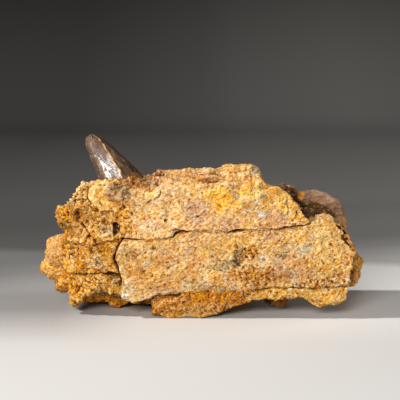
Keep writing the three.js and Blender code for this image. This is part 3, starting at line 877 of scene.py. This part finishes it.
def rusty_collar(p, n, height, tint):
    """Red-brown, with dark patches."""
    return height, coats(tint, (COLLAR_RED, 0.8),
                         (DEEP, 0.65 * smooth_step(-0.2, 0.3, noise(p, 2.0, 95))))


def smooth_lobe(p, n, height, tint):
    """An even pinkish tan."""
    return height, paint(tint, LOBE_TAN, 0.75)


def orange_lobe(p, n, height, tint):
    """Pale orange, and rusty brown painted shade at the foot."""
    return height, coats(tint, (LOBE_ORANGE, 0.65),
                         (LOBE_BASE_SHADE, 0.65 * smooth_step(16, 11, p[:, 2])))


def side_lobe(p, n, height, tint):
    """Warm orange with rusty clouds, and a brown hollow down its middle."""
    hollow = spot(p, (74.5, 18), (3, 6), 0.8, 0.5)
    return height - 0.8 * hollow, coats(
        tint, (SIDE_ORANGE, 0.9), (SIDE_BROWN, 0.75 * hollow),
        (RUST, 0.5 * smooth_step(0.2, 0.6, noise(p, 4.0, 97))))


def brown_knob(p, n, height, tint):
    """Dark rust, darker to the left."""
    return height, coats(tint, (KNOB_RUST, 0.8),
                         (KNOB_DARK, 0.8 * smooth_step(37, 33, p[:, 0])))


# Name: middle, half sizes, lumpy, rough, features
BOULDERS = {
    "lobe_high": ((-62.6, -16, 47.8), (8.4, 10, 6.7), 1.0, 1.5, pitted_lobe),
    "lobe_crevice": ((-61.6, -16, 41), (6.6, 9, 7), 1.0, 1.6, pitted_lobe),
    "lobe_smooth": ((-68.1, -5, 28.2), (11, 13, 9.5), 0.6, 0.45, smooth_lobe),
    "lobe_low": ((-71.2, -4, 20.2), (10.2, 13, 6.0), 0.9, 0.9, orange_lobe),
    "lobe_foot": ((-66.0, -7, 14.2), (8.6, 11, 6.6), 0.8, 0.9, orange_lobe),
    "collar": ((-34.2, -14.0, 63.6), (4.8, 9.0, 5.2), 0.8, 1.5, rusty_collar),
    "knob_under": ((37.5, -13, 9), (7, 7, 7.4), 1.0, 0.9, brown_knob),
    "lobe_right": ((73.2, 5, 21), (9.6, 11, 6), 1.0, 0.8, side_lobe),
    "lobe_right_low": ((71.5, 4, 14.6), (10.2, 12, 6.2), 1.0, 0.9, side_lobe),
}


# ---- Far wall ----

FAR_CRACKS = [[(-58, 38), (-40, 40), (-12, 37), (10, 39.5), (34, 37), (52, 40), (77, 36)],
              [(2, 12), (4, 22), (-1, 30), (1, 38.5)], [(36, 37), (39, 46), (35, 54), (38, 62)]]
MIDDLE_DEPTH = 24  # y between the face in the hollow and the outer face
FAR_BONE = (0.18, 0.11, 0.072)
FAR_GRAIN = (0.09, 0.055, 0.036)
FAR_CLOUD = (0.36, 0.24, 0.18)
FAR_CORNER = (0.50, 0.32, 0.21)
FAR_END = (0.50, 0.21, 0.035)
FAR_CRUMB = (0.42, 0.16, 0.014)
FAR_SHADE = (0.022, 0.009, 0.004)
FAR_LUMP = (0.50, 0.19, 0.014)


def far_wall():
    """The far wall: a slab whose outer face is a shallow parabola in height."""
    return block(-56.0, [(12, 66), (30, 74.5), (41, 77), (50, 75.2)],
                 [(-56, 24), (-30, 14), (20, 11), (60, 16), (76, 24)],
                 [(-56, 48), (-44, 57), (-20, 62), (10, 62.5), (35.5, 58.8), (42.5, 59.6),
                  (48, 58.6), (52, 55.6), (61, 55.8), (67, 54.6), (72, 51), (77, 45)],
                 FAR_WALL[0], lambda x, z: FAR_WALL[1] - 0.006 * (z - 36) ** 2, 2.2, 0.5)


def clinging(p):
    """1 where sandy crust clings to the far wall: cloudy patches, all of its lower edge and left
    end, and two places in the hollow, but not the bare upper right corner."""
    x, y, z = p.T
    crusty = layered(p, 17.0, 3, 611, 0.6) + 0.9 * smooth_step(26, 14, z)
    crusty += 0.8 * smooth_step(-42, -56, x)
    crusty += 1.6 * spot(p, (39, 54), (12, 9), 0.6) * (y < MIDDLE_DEPTH)
    crusty += 1.5 * spot(p, (54, 43.5), (13, 6.5), 0.8) * (y < MIDDLE_DEPTH)
    crusty -= 0.9 * smooth_step(50, 54, x) * smooth_step(48, 52, z)
    return smooth_step(0.28, 0.5, crusty)


def far_rough(p):
    """Bare bone is smooth; the crust that clings to it is rough."""
    return 0.16 + 0.75 * clinging(p)


def far_features(p, n, height, tint):
    """Lengthwise grain: noise stretched six times along X. Long cracks run through the outer
    face. The crust in the hollow is painted near-black shade, pitted and set with orange crumbs,
    with a painted shadow of the plate darkest in its upper left part and one orange lump beside
    it."""
    x, y, z = p.T
    held = clinging(p)
    bare = 1 - held
    grain = layered(p * np.array([1 / 6, 1, 1]), 1.3, 3, 71, 0.6)
    height = height + bare * 0.16 * grain
    for k, points in enumerate(FAR_CRACKS):
        height -= 1.6 * cleft(p, points, 1.0, 400 + 10 * k) * (y > MIDDLE_DEPTH)
    bone = coats(
        FAR_BONE,
        (FAR_GRAIN, 0.8 * smooth_step(-0.1, 0.6, grain)),
        (FAR_CLOUD, 0.8 * smooth_step(0.15, 0.7, layered(p, 11.0, 3, 75))),
        (RUST, 0.5 * smooth_step(0.2, 0.7, layered(p, 8.0, 3, 79))),
        (FAR_CORNER, 0.6 * smooth_step(48, 54, z) * smooth_step(54, 62, x)),
        (FAR_END, 0.7 * smooth_step(73.5, 76, x + noise(p, 3.0, 81))))
    inner = smooth_step(26, 20, y)
    height -= 1.6 * inner * held * pocks(p, 2.6, 0.5, 85)
    crumbs = smooth_step(0.2, 0.5, noise(p, 1.5, 83))
    tint = coats(tint, (HOLLOW_SHADE, 0.95 * inner), (FAR_CRUMB, 0.9 * inner * crumbs))
    tint = tint * (1 - bare[:, None]) + bone * bare[:, None]
    # painted shadow of the plate on the hollow beside its right edge
    beyond = x - 51.6 - 0.53 * (52.5 - z) + noise(p, 3.0, 82)
    shaded = inner * smooth_step(1.5, -1.5, beyond) * smooth_step(58, 55.5, z)
    return height, coats(tint, (FAR_SHADE, 0.92 * shaded * (1 - 0.5 * crumbs)),
                         (FAR_LUMP, 0.9 * inner * spot(p, (52, 54.6), (1.8, 2.4), 0.6, 0.3)))


# ---- Tooth ----

# z, left edge, right edge
CROWN = [(58, -48.5, -22), (67, -51.3, -28.4), (72, -53, -33), (76.5, -54.9, -38), (82, -57, -43.8),
         (86, -57.6, -48.8), (88.4, -55.5, -52.5)]
CROWN_FOOT = 58
CROWN_HEIGHT = 30.3
CROWN_MIDDLE = -13.5  # y of its axis
CROWN_DEPTH = 0.66  # how deep it is for its width
CROWN_ROUND = 144
CROWN_RINGS = 120
OLIVE = (0.07, 0.040, 0.022)
OLIVE_DARK = (0.022, 0.013, 0.007)
OLIVE_PALE = (0.13, 0.085, 0.05)
FLANK = (0.038, 0.016, 0.010)
RED_STREAK = (0.14, 0.06, 0.03)
CROWN_RUST = (0.24, 0.09, 0.02)
SHADOW_BAND = (0.022, 0.014, 0.008)
RIM_BAND = (0.30, 0.13, 0.03)
# pale gold, a painted highlight along the keel
KEEL_HIGHLIGHT = (0.55, 0.30, 0.10)
WORN_TIP = (0.060, 0.027, 0.011)
WORN_STAIN = (0.025, 0.014, 0.007)
CHIPPED = (0.02, 0.012, 0.008)


def keel_turn(z):
    """How far round from the right the front keel stands: its cosine grows towards the tip, and
    two waves make it wander."""
    cosine = line([(58, 0.06), (69, 0.12), (76, 0.26), (82, 0.42), (87, 0.6)])(z)
    return np.arccos(cosine + 0.022 * np.sin(z / 1.1) + 0.018 * np.sin(z / 0.47 + 1))


def eased(points, at, blur):
    """The line through `points`, with each value averaged over `blur` mm on both sides."""
    steps = np.linspace(-blur, blur, 15)
    weight = np.cos(steps / blur * np.pi / 2) ** 2
    return sum(w * line(points)(at + s) for s, w in zip(steps, weight)) / weight.sum()


def tooth():
    """A leaning cone, ring by ring. A ring is an ellipse whose radius is less by 0.1 sin(pi t)
    between the keels, so that each side is nearly flat and meets the next in an edge."""
    rise = np.linspace(0, 1, CROWN_RINGS)
    z = CROWN_FOOT + CROWN_HEIGHT * np.sin(rise * np.pi / 2) ** 0.9
    left = eased([(h, a) for h, a, _ in CROWN], z, 1.6)
    right = eased([(h, b) for h, _, b in CROWN], z, 1.6)
    close = np.sqrt(np.clip(1 - ((z - 85.4) / 2.9).clip(0, 1) ** 2.6, 0, 1))
    half = (right - left) / 1.81 * np.maximum(close, 0.02)
    turn = np.arange(CROWN_ROUND) / CROWN_ROUND * 2 * np.pi
    flank = ((turn - keel_turn(z)[:, None]) / np.pi) % 1
    reach = 1 - 0.1 * np.sin(np.pi * flank)
    keel = bell(np.minimum(flank, 1 - flank) * np.pi, 0.09)
    ring = half[:, None] * reach + 0.4 * keel * np.clip(half / 6, 0, 1)[:, None]
    middle = ((left + right) / 2)[:, None]
    p = np.stack([middle + ring * np.cos(turn), CROWN_MIDDLE - CROWN_DEPTH * ring * np.sin(turn),
                  np.broadcast_to(z[:, None], ring.shape)], axis=2).reshape(-1, 3)
    rows = np.arange(len(p)).reshape(CROWN_RINGS, CROWN_ROUND)
    after = np.roll(rows, -1, axis=1)
    quads = np.stack([rows[:-1], rows[1:], after[1:], after[:-1]], axis=-1).reshape(-1, 4)
    return p, quads, (rows[0], rows[-1][::-1]), np.tile(turn, CROWN_RINGS)


def make_tooth():
    """Enamel: lengthwise facets, fine wrinkles, a few chips and a worn tip. The colours are olive
    brown with reddish streaks, a painted golden highlight along the keel, a painted shadow band
    and a rusty rim down the left side, a brown worn tip and rust at the foot of the crown. The
    upper half is duller."""
    p, quads, caps, turn = tooth()
    n = normals(p, quads)
    x, y, z = p.T
    along = p @ np.array([-0.43, 0, 0.90])
    around = turn * 8
    streak = np.stack([around * 1.4, y * 0.3, along * 0.16], axis=1)
    grain = layered(streak, 1.0, 3, 801, 0.6)
    chips = pocks(p, 3.4, 0.2, 811)
    wear = spot(p, (-55.4, 86.4), (3.2, 3.4), 0.5, 0.2) * (n[:, 1] < 0.3)
    keel = bell((turn - keel_turn(z)) * np.clip((95 - z) / 14, 0.5, 1.6), 0.05)
    height = 0.09 * grain + 0.1 * layered(p, 3.2, 2, 805) - 0.25 * chips - 0.35 * wear
    height -= 0.25 * keel * smooth_step(0.0, 0.5, noise(p, 1.8, 821))
    low = 0.9 * smooth_step(70, 66, z - 0.22 * (x + 40))
    tint = coats(
        OLIVE,
        (OLIVE_DARK, smooth_step(-0.1, 0.5, grain)),
        (OLIVE_PALE, 0.7 * smooth_step(0.1, 0.6, layered(p, 4.0, 3, 831))),
        (FLANK, 0.85 * spot(p, (-51.5, 80.5), (5, 6), 1, 0.5)),
        (RED_STREAK, 0.6 * smooth_step(0.2, 0.5, noise(streak, 1.1, 881)) * smooth_step(72, 78, z)),
        (CROWN_RUST, 0.8 * smooth_step(0.15, 0.7, layered(p, 5.0, 3, 841) + low - 0.25)),
        (SHADOW_BAND, 0.9 * bell(turn - 2.7, 0.36)),
        (RIM_BAND, 0.7 * bell(turn - 3.12, 0.14)),
        (KEEL_HIGHLIGHT, 0.75 * keel * smooth_step(-0.6, 0.1, noise(p, 2.4, 861))),
        (WORN_TIP, 0.85 * wear),
        (WORN_STAIN, 0.7 * wear * smooth_step(0.0, 0.4, noise(p, 1.4, 871))),
        (CHIPPED, 0.8 * chips))
    piece = build("tooth_crown", p + height[:, None] * n, quads, caps)
    dull = 0.55 * smooth_step(71, 81, z + 3.0 * noise(p, 4.0, 851))
    store(piece, np.clip(0.6 + 2.2 * height - 0.4 * wear - dull, 0, 1), tint)
    place(piece, "tooth", "enamel")
    return piece


# ---- Finishes ----

def plug(tree, socket, value):
    """Links the socket to another node's output, or sets it to a number, vector or colour."""
    if isinstance(value, bpy.types.NodeSocket):
        tree.links.new(value, socket)
    else:
        socket.default_value = (*value, 1) if socket.type == "RGBA" else value


def add(tree, kind, sockets=None, **settings):
    """A shader node with its settings, and its sockets plugged by name or number."""
    made = tree.nodes.new("ShaderNode" + kind)
    for name, value in settings.items():
        setattr(made, name, value)
    for name, value in (sockets or {}).items():
        plug(tree, made.inputs[name], value)
    return made


def between(tree, value, low, high, to_low=0.0, to_high=1.0):
    """`value` from low to high, stretched to to_low .. to_high and held there."""
    return add(tree, "MapRange", {"Value": value, "From Min": low, "From Max": high,
                                            "To Min": to_low, "To Max": to_high},
               clamp=True).outputs["Result"]


def maths(tree, operation, one, other):
    """Two values multiplied or added."""
    return add(tree, "Math", {0: one, 1: other}, operation=operation).outputs[0]


def sums(tree, *parts):
    """Each value times its weight, added up."""
    total = None
    for value, weight in parts:
        scaled = maths(tree, "MULTIPLY", value, weight)
        total = maths(tree, "ADD", total, scaled) if total else scaled
    return total


def layers(tree, colour, mode, *rows):
    """Colours mixed with or multiplied into the ones before them. A row is the colour, the value
    that places it, where that value gives none of it and where the most, the share laid there,
    and at times a second value that the share is multiplied by."""
    for over, value, none_at, most_at, most, *held in rows:
        share = between(tree, value, none_at, most_at, 0, most)
        if held:
            share = maths(tree, "MULTIPLY", share, held[0])
        colour = add(tree, "Mix", {0: share, 6: colour, 7: over}, data_type="RGBA",
                     blend_type=mode, clamp_factor=True).outputs[2]
    return colour


def lit_enough(tree, tint):
    """0 where the tint is nearly black, 1 from about a tenth of full brightness."""
    return between(tree, add(tree, "RGBToBW", {"Color": tint}).outputs["Val"], 0.03, 0.12)


def cloud(tree, where, size, detail=4.0, rough=0.65):
    """Noise in Object coordinates with features `size` mm across."""
    return add(tree, "TexNoise", {"Vector": where, "Scale": 1 / (size * MM),
                                            "Detail": detail, "Roughness": rough}).outputs["Fac"]


def start(name):
    """A new material with Object coordinates and the piece's own tint and relief."""
    material = bpy.data.materials.new(name)
    material.use_nodes = True
    tree = material.node_tree
    tree.nodes.clear()
    where = add(tree, "TexCoord").outputs["Object"]
    tint = add(tree, "Attribute", attribute_name="tint").outputs["Color"]
    relief = add(tree, "Attribute", attribute_name="relief").outputs["Fac"]
    return material, tree, where, tint, relief


def finish_shader(tree, colour, roughness, height, bump, **fixed):
    """The surface: colour, roughness, a bump of up to 0.4 mm by `height`, and other sockets by
    name."""
    bumped = add(tree, "Bump", {"Height": height, "Strength": bump, "Distance": 0.4 * MM})
    surface = add(tree, "BsdfPrincipled", {
        "Base Color": colour, "Roughness": roughness, "Normal": bumped.outputs["Normal"]})
    for name, value in fixed.items():
        plug(tree, surface.inputs[name.replace("_", " ")], value)
    add(tree, "OutputMaterial", {"Surface": surface.outputs["BSDF"]})


def grainy_stone(name, pores, crumbs, bump, dusty, crest, pale, streaks, vivid):
    """Sandy stone or crusted bone: its tint, multiplied by cloudy patches of amber, grey and
    gold, by specks and finer pepper, light and dark, by rust and then painted shade in the
    crevices and by `crest` on the crests, with dark pores, pale crumbs and grit of half a
    millimetre. No pale crumbs lie where the tint is nearly black. `streaks` draws the patches out
    along a slope, and `vivid` is the saturation that the whole ends with."""
    material, tree, where, tint, relief = start(name)
    crumbly = tint.node.outputs["Alpha"]
    sloped = add(tree, "Mapping", {
        "Vector": where, "Rotation": (0, math.radians(-35), 0), "Scale": (streaks, 1, 1)},
        vector_type="TEXTURE").outputs["Vector"]
    patches = cloud(tree, sloped, 2.0, 5.0, 0.7)
    veil = cloud(tree, where, 6.0)
    speck = cloud(tree, sloped, 0.8, 4.0, 0.7)
    pepper = cloud(tree, where, 0.5, 2.0, 0.6)
    shift = add(tree, "TexNoise", {"Vector": where, "Scale": 1 / (0.8 * MM)})
    nudged = add(tree, "VectorMath", {
        0: shift.outputs["Color"], 1: (0.6 * MM,) * 3, 2: where}, operation="MULTIPLY_ADD")
    grit = add(tree, "TexVoronoi", {
        "Vector": nudged.outputs["Vector"], "Scale": 1 / (0.66 * MM)})
    lot = add(tree, "SeparateColor", {"Color": grit.outputs["Color"]})
    red, green, blue = lot.outputs
    colour = layers(
        tree, tint, "MULTIPLY",
        ((0.86, 0.64, 0.28), patches, 0.50, 0.58, 0.85),  # amber
        ((1.0, 1.22, 1.9), patches, 0.46, 0.39, pale),
        ((0.62, 0.72, 0.90), veil, 0.54, 0.62, 0.6),  # grey
        ((1.04, 0.98, 0.55), veil, 0.46, 0.38, 0.7),  # gold
        ((0.62, 0.42, 0.20), red, 0.34, 0.1, 0.85, crumbly),  # red grains of grit
        ((0.60, 0.43, 0.20), speck, 0.47, 0.38, 0.8),  # specks, dark and light
        ((1.12, 1.28, 1.6), speck, 0.53, 0.62, 0.85),
        ((0.74, 0.56, 0.34), pepper, 0.47, 0.38, 0.75),  # finer ones, dark and light
        ((1.08, 1.20, 1.45), pepper, 0.53, 0.62, 0.85),
        ((0.60, 0.42, 0.18), relief, 0.5, 0.2, 0.8),  # crevices: rust stain, then painted shade in the deepest
        ((0.26, 0.15, 0.06), relief, 0.3, 0.04, 0.9),
        (crest, relief, 0.6, 0.92, dusty),
        ((0.25, 0.15, 0.07), speck, 0.39, 0.31, pores))
    colour = layers(tree, colour, "MIX", (WHITE, green, 0.84, 0.97, crumbs, lit_enough(tree, tint)),
                    (SOOT, blue, 0.95, 0.98, pores))
    colour = add(tree, "HueSaturation", {
        "Color": colour, "Saturation": vivid, "Value": 1.05}).outputs["Color"]
    height = sums(tree, (speck, 1.0), (green, 0.5), (grit.outputs["Distance"], -0.5))
    finish_shader(tree, colour, between(tree, patches, 0.35, 0.65, 0.95, 0.78), height, bump,
                  Specular_IOR_Level=0.25)
    return material


def smooth_bone(name):
    """Bare fossil bone: its tint, with grain drawn out along X, pink patches, rust in the
    crevices and fine dark pores. Pink and rust stay off the nearly black places."""
    material, tree, where, tint, relief = start(name)
    long_way = add(tree, "Mapping", {"Vector": where, "Scale": (0.3, 1, 1)})
    fibre = cloud(tree, long_way.outputs["Vector"], 0.8, 5.0, 0.7)
    patches = cloud(tree, where, 3.0)
    pore = cloud(tree, where, 0.7, 3.0, 0.7)
    lit = lit_enough(tree, tint)
    colour = layers(
        tree, tint, "MIX", (DEEP, fibre, 0.48, 0.32, 0.5), (PINK, patches, 0.50, 0.68, 0.4, lit),
        (RUST, relief, 0.5, 0.15, 0.6, lit), (DEEP, pore, 0.38, 0.30, 0.8))
    finish_shader(tree, colour, between(tree, patches, 0.35, 0.65, 0.62, 0.86),
                  sums(tree, (fibre, 1.0), (pore, 0.5)), 0.55, Specular_IOR_Level=0.3)
    return material


def glossy_enamel(name):
    """Enamel under a clear gloss, dulled in the worn and chipped places, with fine streaks."""
    material, tree, where, tint, relief = start(name)
    down = add(tree, "Mapping", {
        "Vector": where, "Rotation": (0, math.radians(-25), 0), "Scale": (1, 1, 0.15)})
    streak = cloud(tree, down.outputs["Vector"], 0.6, 5.0, 0.7)
    patches = cloud(tree, where, 1.6, 5.0)
    pore = cloud(tree, where, 0.55, 2.0, 0.6)
    colour = layers(
        tree, tint, "MIX",
        ((0.014, 0.009, 0.006), streak, 0.48, 0.34, 0.7),
        ((0.30, 0.20, 0.12), patches, 0.55, 0.70, 0.5),  # brown
        ((0.010, 0.006, 0.004), pore, 0.36, 0.30, 0.9))
    height = sums(tree, (streak, 0.35), (patches, 0.5), (pore, 0.4))
    worn = between(tree, relief, 0.5, 0.15, 0.0, 0.4)
    roughness = sums(tree, (between(tree, patches, 0.35, 0.65, 0.14, 0.34), 1.0), (worn, 1.0))
    finish_shader(tree, colour, roughness, height, 0.35, Specular_IOR_Level=0.3,
                  Coat_Weight=between(tree, relief, 0.1, 0.5, 0.0, 0.5), Coat_Roughness=0.12)
    return material


BONE_CREST = (1.05, 1.2, 1.5)
ROCK_CREST = (1.15, 1.16, 1.0)
FINISHES = {
    "crusted_bone": grainy_stone("crusted_bone", pores=0.55, crumbs=0.5, bump=0.75, dusty=0.6,
                                 crest=BONE_CREST, pale=0.7, streaks=2.2, vivid=1.0),
    "sandy_rock": grainy_stone("sandy_rock", pores=0.8, crumbs=0.35, bump=0.95, dusty=0.6,
                               crest=ROCK_CREST, pale=0.5, streaks=1.2, vivid=1.07),
    "bare_bone": smooth_bone("bare_bone"),
    "enamel": glossy_enamel("enamel"),
}


# ---- Putting it together ----

# Name, shape, solid it stands for, finish, rough, cream, rust, features
BONES = (
    ("plate_upper", upper_wall, "outer_jaw_bone", "crusted_bone", upper_rough, 0.62, 0.22,
     upper_features),
    ("plate_crest", crest, "outer_jaw_bone", "crusted_bone", crest_rough, 0.45, 0.3, crest_features),
    ("plate_lower", lower_wall, "outer_jaw_bone", "crusted_bone", lower_rough, 0.5, 0.3,
     lower_features),
    ("wall_far", far_wall, "inner_jaw_bone", "bare_bone", far_rough, 0.3, 0.5, far_features),
)
# Name, shape, rough, cream, rust, features, lumpy
ROCKS = (
    ("rock_fill", fill, 1.0, 0.3, 0.6, fill_features, 0.8),
    ("rock_back", back_rim, 0.95, 0.35, 0.45, None, 1.2),
    ("rock_left_upper", left_upper, 1.0, 0.4, 0.5, left_features, 0.8),
    ("rock_left_lower", left_lower, 1.1, 0.3, 0.6, painted_underside_shade, 0.8),
    ("rock_left_under", left_under, 1.1, 0.2, 0.7, rust_and_bounce_under, 0.8),
    ("rock_foot_slab", foot_slab, 1.0, 0.1, 0.85, level_foot, 0.8),
    ("rock_foot_base", foot_base, 1.0, 0.2, 0.7, level_foot, 0.8),
    ("rock_shelf", shelf, 0.7, 0.75, 0.3, painted_underside_shade, 0.8),
)
for seed, (name, shape, node, finish, rough, cream, rust, features) in enumerate(BONES, 11):
    weather(name, shape(), node, finish, seed, rough, cream, rust, features)
for seed, (name, shape, rough, cream, rust, features, lumpy) in enumerate(ROCKS, 21):
    weather(name, shape(), "matrix", "sandy_rock", seed, rough, cream, rust, features, lumpy)
for seed, (name, (middle, half_sizes, lumpy, rough, features)) in enumerate(BOULDERS.items(), 40):
    weather("rock_" + name, boulder(middle, half_sizes), "matrix", "sandy_rock", seed, rough, 0.3,
            0.5, features, lumpy)
crown = make_tooth()


# ---- Camera, light and floor ----

LOOKING_DOWN = 7  # degrees
camera_data = bpy.data.cameras.new("camera")
camera_data.lens = 99.375
camera_data.sensor_width = 36
camera = bpy.data.objects.new("camera", camera_data)
bpy.context.scene.collection.objects.link(camera)
bpy.context.scene.camera = camera
camera.location = Vector((-0.96, -556.05, 122.19)) * MM
camera.rotation_euler = (math.radians(90 - LOOKING_DOWN), 0, 0)


def lamp(name, bearing, height, away, size, power, colour=(1, 1, 1), aim=(0, 0, 35)):
    """A rectangular light aimed at the point `aim`, in mm, from `away` metres. `bearing` is
    degrees from the front (-Y) towards the left (-X), `height` degrees above the level of that
    point."""
    data = bpy.data.lights.new(name, "AREA")
    data.shape = "RECTANGLE"
    data.size, data.size_y = size
    data.energy = power
    data.color = colour
    made = bpy.data.objects.new(name, data)
    bpy.context.scene.collection.objects.link(made)
    b, h = math.radians(bearing), math.radians(height)
    way = Vector((-math.sin(b) * math.cos(h), -math.cos(b) * math.cos(h), math.sin(h)))
    made.location = Vector(aim) * MM + away * way
    made.rotation_euler = way.to_track_quat("Z", "Y").to_euler()
    made.visible_camera = False
    return made


# Name, bearing, height, away, size, power, colour
lamp("key", 86, 42, 1.6, (0.11, 0.11), 24, (1, 0.97, 0.93))
lamp("front", 14, 22, 1.4, (0.6, 0.4), 16.2, (1, 0.985, 0.965))
lamp("side", 245, 12, 1.2, (0.5, 0.3), 3.4, (1, 0.98, 0.95))
sparkle = lamp("sparkle", 33, -15, 0.21, (0.12, 0.12), 1.9, aim=(-48, -14, 72))
only_tooth = bpy.data.collections.new("only_tooth")
only_tooth.objects.link(crown)
sparkle.light_linking.receiver_collection = only_tooth

world = bpy.data.worlds.new("studio")
world.use_nodes = True
background = world.node_tree.nodes["Background"]
background.inputs["Color"].default_value = (0.8, 0.82, 0.86, 1)
background.inputs["Strength"].default_value = 0.07
bpy.context.scene.world = world

REACH = 2.5  # half the width of the floor, and how far it comes to the front, in metres
BEND = 1.5  # y where the floor starts to rise
BEND_RADIUS = 0.5


def sweep():
    """The floor, level at z = 0, and 1.5 m behind the fossil a quarter circle up into a wall."""
    level_y = np.linspace(-REACH, BEND, 41)
    turn = np.linspace(0, np.pi / 2, 13)[1:]
    y = np.concatenate([level_y, BEND + BEND_RADIUS * np.sin(turn), [2.0, 2.0]])
    z = np.concatenate([0 * level_y, BEND_RADIUS - BEND_RADIUS * np.cos(turn), [1.5, 2.5]])
    x = np.linspace(-REACH, REACH, 41)
    p = np.stack([np.repeat(x, len(y)), np.tile(y, len(x)), np.tile(z, len(x))], axis=1)
    return p / MM, grid_quads(np.arange(len(p)).reshape(len(x), len(y)))


# How far back on the ramp, and the tone there: painted light that fades towards the back
FLOOR_TONES = ((0.02, 0.69), (0.075, 0.62), (0.115, 0.53), (0.145, 0.28), (0.17, 0.18),
               (0.27, 0.12), (0.5, 0.126), (0.9, 0.168))
floor = build("floor", *sweep())
paper = bpy.data.materials.new("paper")
paper.use_nodes = True
tree = paper.node_tree
shader = tree.nodes["Principled BSDF"]
at = add(tree, "TexCoord").outputs["Object"]
x, y, z = add(tree, "SeparateXYZ", {"Vector": at}).outputs
depth = sums(tree, (y, 1.0), (x, -0.45))
ramp = add(tree, "ValToRGB", {"Fac": between(tree, depth, -0.1, 1.5)})
stops = ramp.color_ramp.elements
for how_far, tone in FLOOR_TONES:
    stops.new(how_far).color = (tone, tone * 0.985, tone * 0.96, 1)
stops.remove(stops[0])
stops.remove(stops[-1])
depth_left = maths(tree, "MULTIPLY", between(tree, y, -0.08, -0.012), between(tree, y, 0.13, 0.02))
far_right_painted_light = maths(tree, "MULTIPLY", between(tree, x, -0.25, 0.3), between(tree, y, 0.15, 0.45))
slant = sums(tree, (y, 1.0), (x, 0.22))
paper_and_painted_light = layers(
    tree, ramp.outputs["Color"], "MULTIPLY",
    ((0.5, 0.49, 0.49), x, -0.03, -0.07, 1, depth_left),  # shade at the left
    ((0.6, 0.595, 0.59), slant, 0.128, 0.150, 1),  # darker behind
    # painted light: brighter behind at the right
    ((2.3, 2.27, 2.25), slant, 0.128, 0.150, 1, far_right_painted_light),
    ((0.45, 0.44, 0.43), z, 0.02, 0.28, 1),  # painted shade, darker up the wall
    ((1.12, 1.12, 1.12), x, 0.0, 0.08, 1, between(tree, y, -0.08, -0.04)))  # painted light, brighter at the front right
tree.links.new(paper_and_painted_light, shader.inputs["Base Color"])
shader.inputs["Roughness"].default_value = 0.9
shader.inputs["Specular IOR Level"].default_value = 0.2
floor.data.materials.append(paper)

bpy.context.scene.view_settings.view_transform = "Standard"
